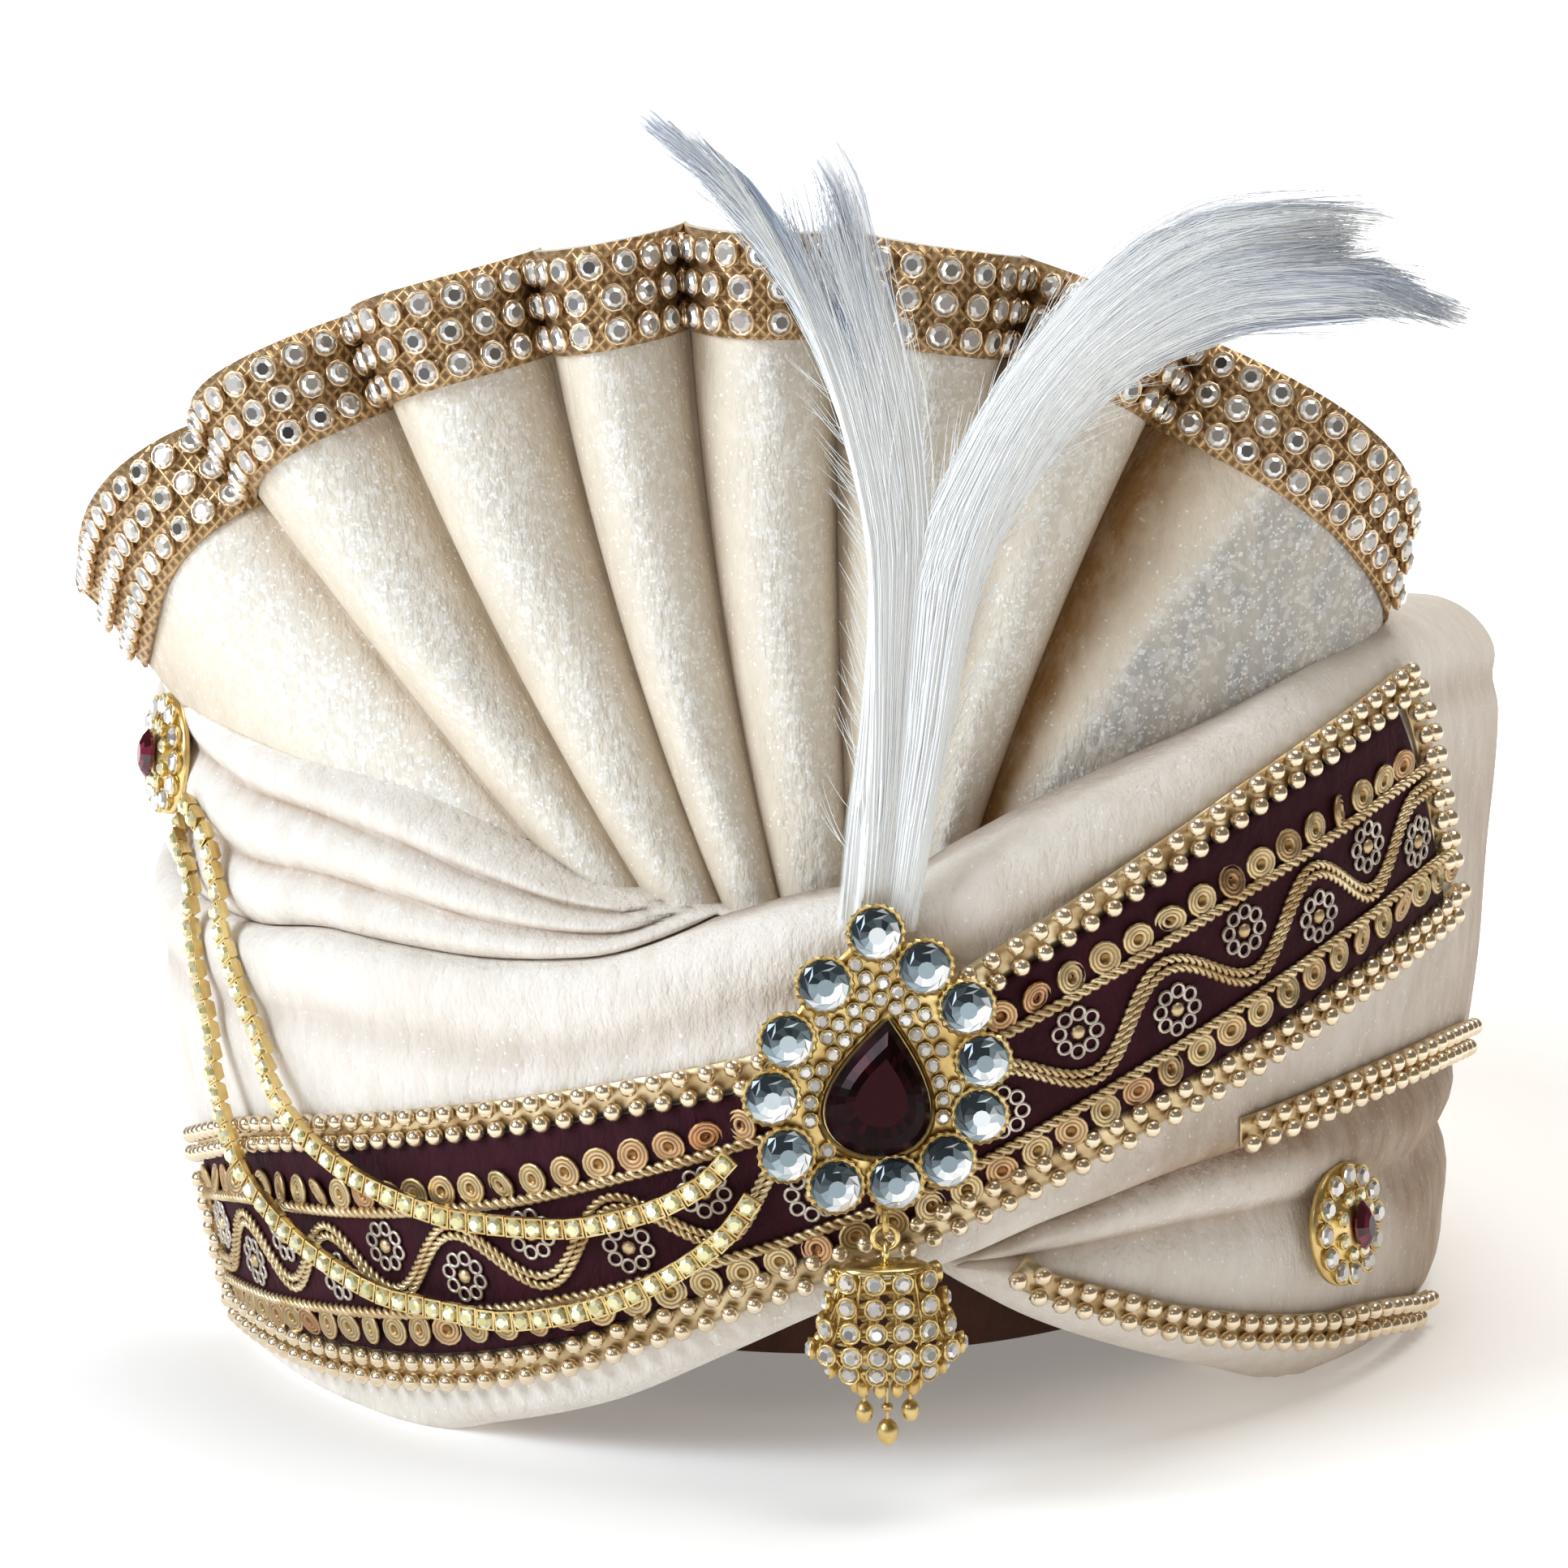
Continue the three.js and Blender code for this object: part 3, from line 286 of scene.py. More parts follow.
class Thread:
    """A value on its way through a material's nodes. Sums and products of values add Math nodes."""

    def __init__(self, tree, socket=None):
        self.tree = tree
        self.socket = socket

    def node(self, kind, settings=None, sockets=None, output=0):
        """Any node: its settings are set first, then its sockets get numbers, colours or links."""
        made = self.tree.nodes.new(kind)
        for key, value in (settings or {}).items():
            setattr(made, key, value)
        for key, value in (sockets or {}).items():
            if isinstance(value, Thread):
                self.tree.links.new(value.socket, made.inputs[key])
            else:
                made.inputs[key].default_value = value
        return Thread(self.tree, made.outputs[output])

    def math(self, operation, first, second):
        """One Math node."""
        return self.node("ShaderNodeMath", {"operation": operation}, {0: first, 1: second})

    def __add__(self, other):
        return self.math("ADD", self, other)

    __radd__ = __add__

    def __sub__(self, other):
        return self.math("SUBTRACT", self, other)

    def __rsub__(self, other):
        return self.math("SUBTRACT", other, self)

    def __mul__(self, other):
        return self.math("MULTIPLY", self, other)

    __rmul__ = __mul__

    def __gt__(self, other):
        return self.math("GREATER_THAN", self, other)


def ink(code):
    """Linear colour from six hexadecimal figures: each channel c becomes ((c + 0.055) / 1.055) ** 2.4."""
    channels = np.array([int(code[k : k + 2], 16) for k in (0, 2, 4)]) / 255
    linear = np.where(channels < 0.04045, channels / 12.92, ((channels + 0.055) / 1.055) ** 2.4)
    return (*[float(c) for c in linear], 1.0)


def new_finish(name, **fixed):
    """Material with its fixed numbers set on the shader's own sockets, its first thread and its shader."""
    material = bpy.data.materials.new(name)
    material.use_nodes = True
    shader = material.node_tree.nodes["Principled BSDF"]
    for socket, value in fixed.items():
        shader.inputs[socket.replace("_", " ")].default_value = value
    return material, Thread(material.node_tree), shader


def feed(shader, **values):
    """Links threads to the shader's sockets."""
    for socket, value in values.items():
        value.tree.links.new(value.socket, shader.inputs[socket.replace("_", " ")])


# %% [markdown]
# A few nodes turn up in every finish: the place on the piece, cloudy noise, random cells, a value that the
# piece carries, a mix of two colours and a bump. Each gets a short function, and a finish reads as a list.

# %% Nodes that every finish uses


def place_of(first):
    """Object coordinates, in metres from the turban's own origin."""
    return first.node("ShaderNodeTexCoord", output=3)


def grain(first, scale, detail=2.0, roughness=0.5, place=None):
    """Cloudy noise from 0 to 1 with so many waves to the metre."""
    sockets = {"Vector": place or place_of(first), "Scale": scale, "Detail": detail, "Roughness": roughness}
    return first.node("ShaderNodeTexNoise", sockets=sockets)


def cells(first, scale):
    """Random number from 0 to 1 in each cell of a broken-up grid: flecks, grit and facets."""
    colour = first.node("ShaderNodeTexVoronoi", sockets={"Vector": place_of(first), "Scale": scale}, output=1)
    return first.node("ShaderNodeSeparateColor", sockets={0: colour})


def field(first, name):
    """A value that the piece carries for each point or face."""
    return first.node("ShaderNodeAttribute", {"attribute_name": name}, output=2)


def blend(first, share, one, other):
    """Colour a share of the way from one to the other."""
    return first.node("ShaderNodeMix", {"data_type": "RGBA"}, {0: share, 6: one, 7: other}, output=2)


def within(first, value, low, high):
    """The value's place between low and high, held to 0 and 1."""
    sockets = {"Value": value, "From Min": low, "From Max": high}
    return first.node("ShaderNodeMapRange", sockets=sockets)


def relief(first, height, depth):
    """Normal of a surface raised by height times depth, in metres."""
    return first.node("ShaderNodeBump", sockets={"Strength": 1.0, "Distance": depth, "Height": height})


# %% [markdown]
# The cloths are a short-pile velvet. Its pile leans in patches, which show as soft clouds of light and dark,
# and the light catches single fibres as sparks, which are painted as white flecks. The creases are warmer,
# because light that reaches them has bounced off cream cloth first, so each cloth carries a field of painted
# shade: a warm, darker tone in its creases, near its edges and on its shaded side.

# %% Velvets


def velvet(name, light, cool, deep, sparks, crush=0.5, sheen=0.3, painted_sheen_shade=False):
    """Pile cloth: crushed patches of a warm and a cool tone, drawn out upwards as the pile was brushed.

    A painted silver sheen, with pale flakes painted as glints and dull flakes, shows where the sheen field
    says so, and turns to a painted grey shade where that field is high. A deep tone of painted shade lies
    where the shade field says, and painted sparks, white flecks at random, stand for fibres that catch the
    light.
    """
    material, first, shader = new_finish(
        name, Sheen_Weight=sheen, Sheen_Roughness=0.45, Sheen_Tint=light, Specular_IOR_Level=0.2
    )
    place = place_of(first)
    drawn = first.node("ShaderNodeMapping", sockets={"Vector": place, "Scale": (1.0, 1.0, 0.45)})
    clouds = grain(first, 30.0, 3.0, 0.6)
    patches = within(first, grain(first, 210.0, 4.0, 0.65, drawn), 0.34, 0.68)
    nap = grain(first, 1100.0, 2.0, 0.6, drawn)
    spark_from = 1.0 - sparks
    tone = blend(first, crush * patches + 0.35 * within(first, clouds, 0.35, 0.65), light, cool)
    # Painted sheen and shade for the fan: a silver sheen where the field runs up to 0.6, a grey shade as it
    # nears 1, and pale flakes as painted glints.
    if painted_sheen_shade:
        silver = field(first, "silver")
        bright = within(first, silver, 0.0, 0.6)
        grey_shade = within(first, silver, 0.6, 1.0)
        flake = cells(first, 900.0)
        spark_from = spark_from - 0.16 * bright * patches
        sheen_shade_tone = blend(first, grey_shade, ink("e1dcd1"), ink("a9abac"))
        tone = blend(first, bright * (0.4 + 0.5 * patches), tone, sheen_shade_tone)
        tone = blend(first, bright * 0.26 * (flake > 0.7), tone, (1.0, 1.0, 1.0, 1.0))
        tone = blend(first, bright * 0.18 * (1.0 - flake > 0.72), tone, ink("c2b9b2"))
    # Painted highlight: sparks are white flecks in random cells standing for fibres that catch the light;
    # their lower roughness is real shine, and they fade in the painted shade.
    spark = cells(first, 2300.0) > spark_from
    # Painted shade: a warm deep tone where the shade field says, in creases, near edges and on the shaded
    # side.
    shade = field(first, "crease")
    tone = blend(first, shade * (0.85 + 0.3 * patches), tone, deep)
    tone = blend(first, spark * (0.6 - 0.5 * shade), tone, (1.0, 0.99, 0.97, 1.0))
    feed(
        shader,
        Base_Color=tone,
        Roughness=0.88 - 0.2 * nap - 0.4 * spark,
        Normal=relief(first, 0.55 * nap + 0.9 * patches, 0.00042),
    )
    return material


# The third colour of each velvet is the tone of its painted shade.
CREAM = velvet("cream_velvet", ink("f0e9e0"), ink("dbd1c3"), ink("957352"), 0.01, sheen=0.18)
IVORY = velvet("ivory_tissue", ink("e8dcc8"), ink("d6c9b4"), ink("8f6a3e"), 0.015, crush=0.6, painted_sheen_shade=True)
MAROON = velvet("maroon_velvet", ink("3a0d1a"), ink("22060e"), ink("180409"), 0.0, sheen=0.1)
LINING = velvet("brown_lining", ink("4a2d20"), ink("38201a"), ink("24130e"), 0.0, sheen=0.1)
print("cloths:", [cloth.name for cloth in (CREAM, IVORY, MAROON, LINING)])

# %% [markdown]
# Metals and stones are small here, so what tells them apart is contrast. The gold threads and cups are
# a true metal with uneven polish. The stones are foiled glass: each facet mirrors another part of the
# room, so each face carries its own random tone between slate and white, under a clear coat.

# %% Metals and stones


def metal(name, bright, dull, rough, grit=700.0):
    """Metal with patches of duller, darker metal and a fine uneven surface."""
    material, first, shader = new_finish(name, Metallic=1.0)
    wear = within(first, grain(first, 120.0, 3.0), 0.35, 0.7)
    fine = grain(first, grit, 2.0)
    feed(
        shader,
        Base_Color=blend(first, wear * 0.6 + fine * 0.4, bright, dull),
        Roughness=rough + 0.16 * wear + 0.1 * fine,
        Normal=relief(first, fine, 0.00006),
    )
    return material


def foiled(name, dark, mid, light, gloss=0.07, coat=0.8, shine=0.5):
    """Glass on foil: a tone for each facet from dark through mid to light, under a clear coat."""
    material, first, shader = new_finish(
        name, Roughness=gloss, Coat_Weight=coat, Coat_Roughness=0.03, Specular_IOR_Level=shine
    )
    facet = field(first, "facet")
    haze = grain(first, 500.0, 2.0)
    tone = blend(first, within(first, facet, 0.0, 0.55), dark, mid)
    tone = blend(first, within(first, facet, 0.55, 1.0), tone, light)
    feed(shader, Base_Color=tone, Metallic=0.55 - 0.25 * haze)
    return material


GOLD = metal("gold_metal", ink("f0db9c"), ink("bd9550"), 0.2)
CUP_GOLD = metal("rose_gold_cup", ink("f4e4c8"), ink("c9a274"), 0.18)
THREAD_GOLD = metal("gold_thread", ink("eddcb6"), ink("b08d5a"), 0.32)
SILVER_RING = metal("silver_ring", ink("ddd3c6"), ink("95877c"), 0.3)
CRYSTAL = foiled("crystal_glass", ink("2f3a40"), ink("8fa2aa"), ink("ffffff"))
CLEAR = foiled("clear_crystal", ink("3d3a38"), ink("c4bdb4"), ink("ffffff"))
CITRINE = foiled("citrine_crystal", ink("8d8348"), ink("ddd49a"), ink("fffbe0"))
GARNET = foiled("garnet_glass", ink("0e0103"), ink("190206"), ink("2c050c"), 0.25, 0.0, 0.15)
RUBY = foiled("ruby_glass", ink("26030c"), ink("560a1f"), ink("a83a59"), 0.05)


def pearl(name, light, mid):
    """Metal-coated bead: nearly a mirror, with a thin uneven skin."""
    material, first, shader = new_finish(name, Coat_Weight=0.4, Coat_Roughness=0.08)
    skin = grain(first, 320.0, 2.0)
    feed(
        shader,
        Base_Color=blend(first, skin, light, mid),
        Roughness=0.16 + 0.14 * skin,
        Metallic=0.8 + 0.2 * skin,
    )
    return material


PEARL = pearl("pearl_gold_bead", ink("fdf1da"), ink("dcc197"))


def coiled(name):
    """Coil of fine wire, gold in some coils and copper in others, darker in painted shade between its turns
    and lighter on its ridges.
    """
    material, first, shader = new_finish(name, Metallic=0.9)
    warm = field(first, "warm")
    ridge = field(first, "ridge")
    fine = grain(first, 900.0)
    # Painted shade: the ridge field runs from the dark tone in the grooves to the light tone on the ridges.
    gold = blend(first, ridge, ink("9c7b48"), ink("e8d5aa"))
    copper = blend(first, ridge, ink("8f5c36"), ink("dcae84"))
    feed(
        shader,
        Base_Color=blend(first, warm, gold, copper),
        Roughness=0.3 + 0.25 * fine,
        Normal=relief(first, fine, 0.0001),
    )
    return material


COIL = coiled("gold_coil")
print("finishes so far:", len(bpy.data.materials))


# %% [markdown]
# A real cut stone flashes because its facets mirror different things. Glass with real refraction would need
# many more samples, so each facet gets its tone from a seeded random number or from the way it faces.

# %% Tones of the facets


def cut_tones(shape, sides, table):
    """Tones for the faces of cut stones: the sloping facets from one range, the flat ends from another."""
    skirts, backs, tables = shape[1]
    sloping = rng.uniform(*sides, len(skirts))
    flat = rng.uniform(*table, len(tables))
    return np.concatenate([sloping, 0 * backs[:, 0], flat])


def mirrored(shape, up, right):
    """Tones for the faces of foiled stones.

    Faces that look down mirror the pale table below, faces that look up mirror a darker room, and each face
    strays a little.
    """
    points, faces = shape
    corners = [(points[f[:, 0]], points[f[:, 1]], points[f[:, 2]]) for f in faces]
    facing = np.concatenate([unit(np.cross(b - a, c - a)) for a, b, c in corners])
    rise = facing @ np.array(up, float)
    side = facing @ np.array(right, float)
    steep = np.hypot(rise, side)
    stray = rng.uniform(-0.28, 0.28, len(facing))
    lean = (0.75 * side - rise) / np.maximum(steep, 0.12)
    return np.clip(0.62 + 0.5 * lean - 0.45 * steep + stray, 0, 1)


def facets(shape, low=0.0, high=1.0):
    """A random tone for every face of a shape."""
    count = sum(len(f) for f in shape[1])
    return rng.uniform(low, high, count)


# %% [markdown]
# The wound cloth is two thick rolls. The under wrap goes round high at the left and low at the right,
# the over wrap crosses it the other way, and their edges are tables of heights against the turn from the
# front. The real cloth is stiffened and sewn down, so it holds its folds: each section is worked out,
# with round shoulders and creases, and the sections are carried round the head as one closed skin.

# %% Edges of the wound cloth
HALF_WIDTH = 83.0
HALF_DEPTH = 102.0
GAP = 0.4

BULGE = [(0, 28), (20, 31.5), (45, 35), (70, 38), (95, 40), (115, 40.5), (130, 39), (145, 35)]
UNDER = [
    (-180, -4, 114),
    (-150, -4, 124),
    (-120, -2, 131),
    (-90, 4, 131),
    (-70, 6, 126),
    (-53, 9, 121),
    (-44, 12, 117),
    (-34, 19, 108),
    (-26, 27, 101),
    (-14, 37, 97),
    (0, 38, 93),
    (6, 31, 92),
    (13, 23, 94),
    (21, 16, 99),
    (36, 5, 106),
    (47, -2, 111),
    (70, -4, 111),
    (120, -4, 101),
    (150, -4, 104),
]
OVER = [
    (-180, 22, 96, 8),
    (-150, 8, 91, 6),
    (-120, -3, 88, 5),
    (-90, -5, 82, 5),
    (-62, -5, 84, 5),
    (-49, -4, 88, 5),
    (-37, 3, 88, 5),
    (-25, 11, 90, 6),
    (-14, 22, 97, 7),
    (-7, 29, 101, 7),
    (0, 35, 103, 6),
    (6, 39, 109, 6),
    (13, 44, 115, 6),
    (28, 50, 124, 6),
    (41, 51, 133, 7),
    (53, 50, 137, 9),
    (70, 47, 132, 13),
    (90, 42, 123, 13),
    (120, 35, 101, 12),
    (150, 29, 97, 10),
]
OVER_PROUD = 2.5
OVER_SUNK = 12.0
OVER_FOOT = 5.0
UNDER_NOSE = 14.0
INNER_NOSE = 6.0
FOLD_DEPTH = 3.2

bulge = curve_of(BULGE)
under_low = curve_of(UNDER, 1, 360)
under_high = curve_of(UNDER, 2, 360)
over_low = curve_of(OVER, 1, 360)
over_high = curve_of(OVER, 2, 360)
over_nose = curve_of(OVER, 3, 360)
print("wraps from", min(row[1] for row in UNDER), "to", max(row[2] for row in OVER), "mm high")

# %% [markdown]
# A cloth's outer face is a distance out from the head opening at each turn and height. It starts from one
# shared bulge. A round shoulder takes some away near an edge, and each crease between two rolls takes a bit
# more, as the modulus of a sine, which is round on the rolls and sharp in the creases.

# %% Faces of the wound cloth


def around(turn, out, height):
    """Point at a turn from the front in degrees, a distance out from the head opening, and a height."""
    angle = np.radians(turn)
    x = (HALF_WIDTH + out) * np.sin(angle)
    y = -(HALF_DEPTH + out) * np.cos(angle)
    return np.stack(np.broadcast_arrays(x, y, height), -1)


def turn_of(points, out):
    """Turn from the front, in degrees, of points a distance out from the head opening."""
    sideways = points[..., 0] / (HALF_WIDTH + out)
    ahead = -points[..., 1] / (HALF_DEPTH + out)
    return np.degrees(np.arctan2(sideways, ahead))


def spot_on(face, turn, height):
    """Point on a cloth face, which gives the distance out at a turn and a height."""
    return around(turn, face(turn, height), height)


def nose(inset, radius):
    """How far a rounded edge drops away at a distance in from the edge: r - sqrt(r2 - (r - inset)2)."""
    short = np.clip(radius - inset, 0, radius)
    return radius - np.sqrt(radius * radius - short * short)


def ripple(share, count):
    """Rolls between sharp creases: 1 - |sin(pi n v)| for shares v from 0 to 1, and none outside."""
    inside = (share > 0) & (share < 1)
    return np.where(inside, 1 - np.abs(np.sin(np.pi * count * share)), 0.0)


def folds(turn, height):
    """Depth of the under wrap's creases: three rolls above the over wrap, two below it.

    The creases end before the upper edge, and at the back they grow as the cloth comes into view.
    """
    wander = 0.05 * np.sin(np.radians(5.0 * turn))
    shown = under_high(turn) - over_high(turn)
    above = np.clip((height - over_high(turn)) / np.maximum(8, shown), 0, 1.01)
    below = np.clip((height - under_low(turn)) / np.maximum(8, over_low(turn) - under_low(turn)), 0, 1.01)
    opened = np.where(np.abs(turn) > 120, within_share(shown, 2, 16), 1.0)
    upper = ripple(above + wander * above * (1 - above) * 4, 3) * (1 - within_share(above, 0.84, 0.98))
    return opened * upper + ripple(below**1.9, 2) * within_share(below, 0.3, 0.6)


def lobe(turn, height):
    """How far the under wrap's lower right lobe stands out: 4.4 mm at its foot, nothing 55 mm above it."""
    side = within_share(turn, 28, 60) - within_share(turn, 95, 130)
    return 4.4 * side * np.maximum(0.0, 1.0 - height / 55.0)


def under_face(turn, height):
    """Outer face of the under wrap: the bulge and its lobe, less its rounded edges and its creases."""
    inset = np.minimum(height - under_low(turn), under_high(turn) - height)
    return bulge(height) + lobe(turn, height) - nose(inset, UNDER_NOSE) - FOLD_DEPTH * folds(turn, height)


def over_face(turn, height):
    """Outer face of the over wrap: the bulge, a little proud, less its shoulder and its foot."""
    shoulder = nose(over_high(turn) - height, over_nose(turn))
    foot = nose(height - over_low(turn), OVER_FOOT)
    return bulge(height) + OVER_PROUD - shoulder - foot


def spread(count):
    """Shares from 0 to 1, closer together near both ends."""
    return (0.5 - 0.5 * np.cos(np.pi * np.arange(count) / (count - 1)))[None, :]


def hoop(turns, sections):
    """Closed skin round the head through sections of (out, height)."""
    outs, heights = sections
    points = around(turns, outs, np.maximum(heights, 0.0))
    rows, columns, _ = points.shape
    return outward((points.reshape(-1, 3), [grid_faces(rows, columns, True, True)]))


TURNS = np.arange(-180.0, 180.0, 1.25)[:, None]

# %% [markdown]
# Under the over wrap the under wrap is pressed flat, so its section has three stretches: the folds that
# show below, a groove that the over wrap lies in, and the folds that show above. The grid's rows follow
# the over wrap's edges, so the two cloths meet in a clean line.

# %% Under wrap
UNDER_ROWS = (26, 8, 48, 12)


def under_sections():
    """Sections of the under wrap, and the painted shade at each point: in its creases, below the over wrap's
    lower edge and on its right side.
    """
    low = under_low(TURNS)
    high = under_high(TURNS)
    least = 0.3
    lower = np.clip(over_low(TURNS) - GAP, low + least, high - 3 * least)
    upper = np.clip(over_high(TURNS) + GAP, lower + least, high - least)
    ends = ((low, lower), (lower, upper), (upper, high), (high, low))
    below, groove, above, inner = [mix(a, b, spread(rows)) for (a, b), rows in zip(ends, UNDER_ROWS)]
    inset = np.minimum(inner - low, high - inner)
    lip = nose(np.minimum(above - low, high - above), INNER_NOSE) + 0.6
    crest = np.maximum(under_face(TURNS, above), lip)
    outs = [under_face(TURNS, below), bulge(groove) - OVER_SUNK - 0.9, crest, nose(inset, INNER_NOSE)]
    # Painted shade: the right side darker, fading out towards the back, and the cloth just below the over
    # wrap's edge darker; the hidden groove gets a fixed shade.
    shaded = within_share(TURNS, 26, 62) - within_share(TURNS, 66, 115)
    near_tuck = np.exp(-np.maximum(lower - below, 0) / (9.0 + 5.0 * shaded))
    tuck_and_side_shade = (0.9 + 0.1 * shaded) * near_tuck + 0.9 * shaded
    crease = [np.maximum(folds(TURNS, below), tuck_and_side_shade), 0 * groove + 0.9, folds(TURNS, above), 0 * inner]
    heights = np.concatenate([below, groove, above, inner], 1)
    return (np.concatenate(outs, 1), heights), np.concatenate(crease, 1)


sections, crease = under_sections()
crease = np.clip(crease.ravel(), 0, 1) ** 3 * 0.75
under_wrap = new_piece("under_roll", hoop(TURNS, sections), CREAM, "cream_velvet", crease=crease)
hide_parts("under_wrap")

# %% [markdown]
# The over wrap is drawn tight, so it has almost no creases. It has a soft roll along its upper edge,
# where the cloth is turned in, and long shallow pulls that run with the winding.

# %% Over wrap


def over_sections():
    """Sections of the over wrap with a soft roll below its upper edge and shallow pulls along it, and the
    painted shade of each point.
    """
    low = over_low(TURNS)
    high = over_high(TURNS)
    outer = mix(low, high, spread(64))
    inner = mix(high, low, spread(8))
    share = (outer - low) / (high - low)
    drop = high - outer
    roll = np.exp(-(((drop - 15) / 3.5) ** 2)) * 1.1
    pull = 0.5 * np.sin(np.radians(3 * TURNS) + 9 * share) * np.sin(np.pi * share) ** 2
    outs = np.concatenate([over_face(TURNS, outer) - roll - pull, bulge(inner) - OVER_SUNK], 1)
    # Painted shade: in the soft roll, on the right end, along the lower edge at the right front, and a fixed
    # shade on the inside.
    shaded = within_share(TURNS, 40, 72) - within_share(TURNS, 76, 125)
    creased = (within_share(TURNS, 10, 24) - within_share(TURNS, 34, 56)) * np.exp((low - outer) / 9.0)
    field_outer = 0.25 * np.clip(roll, 0, 1) + 0.5 * shaded * within_share(drop, 10, 34) + creased
    return (outs, np.concatenate([outer, inner], 1)), np.concatenate([field_outer, 0 * inner + 0.6], 1)


sections, crease = over_sections()
over_wrap = new_piece("over_roll", hoop(TURNS, sections), CREAM, "cream_velvet", crease=crease.ravel())
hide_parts("over_wrap")

# %% [markdown]
# Inside the rolls a soft crown closes the top, gathered towards its middle, and a dark lining band runs
# round the head. Both are single sheets: a grid for the face, the same grid moved by the cloth's
# thickness for the back, and a strip that joins them round the edge.

# %% Crown and lining
CROWN_RIM = 84.0
CROWN_RISE = 34.0
CROWN_WALL = 2.0
CROWN_GATHERS = 14


def crown_skin(drop, ring_count=30, sides=224):
    """Dome over the head: height 1 - s2 at a share s of the way out, and cosine gathers, deepest midway."""
    share = mix(0.02, 1.0, np.linspace(0, 1, ring_count))[:, None]
    angle = 2 * np.pi * np.arange(sides)[None, :] / sides
    wave = np.cos(CROWN_GATHERS * angle + 2.5 * share) + 0.4 * np.cos(2.7 * CROWN_GATHERS * angle)
    gather = 1.5 * wave * 4 * share * (1 - share)
    x = share * (HALF_WIDTH - 0.6) * np.sin(angle)
    y = -share * (HALF_DEPTH - 0.6) * np.cos(angle)
    z = CROWN_RIM + CROWN_RISE * (1 - share * share) + gather - drop
    # Painted shade: darker in the hollows of the gathers.
    shade = np.clip(-wave * 0.35, 0, 1)
    return np.stack(np.broadcast_arrays(x, y, z), -1), np.broadcast_to(shade, z.shape)


top, gather_shade = crown_skin(0.0)
under_side, _ = crown_skin(CROWN_WALL)
rings = np.concatenate([top, under_side[::-1]])
crease = np.concatenate([gather_shade, gather_shade[::-1]]).ravel()
crown = new_piece("crown_cloth", rod(rings), CREAM, "cream_velvet", crease=crease)
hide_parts("crown")

LINING_SECTION = np.array(
    [(-0.4, 12.5), (-0.4, 57.5), (-0.7, 58), (-1.8, 58), (-2.1, 57.5), (-2.1, 12.5), (-1.8, 12), (-0.7, 12)]
)
outs, heights = np.broadcast_to(LINING_SECTION.T[:, None], (2, len(TURNS), len(LINING_SECTION)))
lining_hoop = hoop(TURNS, (outs, heights))
lining = new_piece("lining_band", lining_hoop, LINING, "brown_lining", crease=np.zeros(outs.size))
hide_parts("inner_band")

# %% [markdown]
# The fan is one stiff pleated sheet that stands behind the wraps. A valley between two pleats is a row of
# the table, and a pleat is the power of a sine between two valleys, which gives round ridges and sharp
# valleys. The lower edge is found by stepping each line of the fan down until it is tucked into the wraps.
# Cloth simulation could fold such a sheet, but the real one is starched and its pleats are set by hand.

# %% Fan: the pleated surface
FAN_X = -3.0
FAN_Z = 45.0
FAN = [
    (0, 145.0, 147.0, 160.5, 124, 0.15),
    (1, 130.8, 132.0, 169.5, 82, 0.7),
    (2, 119.5, 125.0, 171.0, 62, 1),
    (3, 108.6, 115.5, 168.5, 52, 1),
    (4, 99.8, 106.0, 166.5, 48, 1),
    (5, 90.6, 93.5, 163.0, 46, 1),
    (6, 79.0, 84.0, 160.0, 46, 1),
    (7, 67.3, 74.0, 155.0, 52, 1),
    (8, 47.8, 37.0, 148.0, 104, 0.75),
]
FAN_WALL = 2.4
FAN_TIP_DEPTH = 19.0
FAN_BASE_DEPTH = 4.0
FAN_RIDGE = 0.62
FAN_LEAN = 0.08
FAN_DEPTH = 122.0
FAN_LEFT = 126.0
FAN_RIGHT = 138.0
FAN_FLARE = 0.3
FAN_FLARE_FROM = 115.0
FAN_OUT = 20.0
FAN_ROWS = 46
LACE_WIDTH = 17.0
TUCK = 5.0

fan_tip = curve_of(FAN, 1)
fan_base = curve_of(FAN, 2)
fan_radius = curve_of(FAN, 3)
fan_start = curve_of(FAN, 4)
fan_bold = curve_of(FAN, 5)


def ridge_of(pleat):
    """Height of the pleats from 0 in a valley to 1 on a ridge: |sin(pi p)| to a power below one."""
    return np.abs(np.sin(np.pi * pleat)) ** FAN_RIDGE


def fan_point(pleat, radius, push=0.0):
    """Point on the fan at a count of pleats and a radius, pushed out from its middle face."""
    share = (radius - fan_start(pleat)) / (fan_radius(pleat) - fan_start(pleat))
    angle = np.radians(mix(fan_base(pleat), fan_tip(pleat), share))
    x = FAN_X + radius * np.cos(angle)
    z = FAN_Z + radius * np.sin(angle)
    half = np.where(x < 0, FAN_LEFT, FAN_RIGHT) + FAN_FLARE * (z - FAN_FLARE_FROM)
    y = -FAN_DEPTH * np.sqrt(np.maximum(0.03, 1 - (x / half) ** 2)) + FAN_LEAN * (z - FAN_FLARE_FROM)
    facing = unit(np.stack([x / half**2, y / FAN_DEPTH**2], -1))
    depth = mix(FAN_BASE_DEPTH, FAN_TIP_DEPTH, share) * fan_bold(pleat) * (ridge_of(pleat) - 0.5) + push
    return np.stack([x + depth * facing[..., 0], y + depth * facing[..., 1], z], -1)


def fan_foot(pleat):
    """Radius at which a line of the fan is tucked into the higher wrap, found in a few steps."""
    radius = fan_start(pleat) + 30
    for _ in range(12):
        point = fan_point(pleat, radius)
        turn = turn_of(point, FAN_OUT)
        target = np.maximum(under_high(turn), over_high(turn)) - TUCK
        radius = radius + 0.8 * (target - point[..., 2])
        radius = np.clip(radius, fan_start(pleat), fan_radius(pleat) - LACE_WIDTH - 8)
    return radius
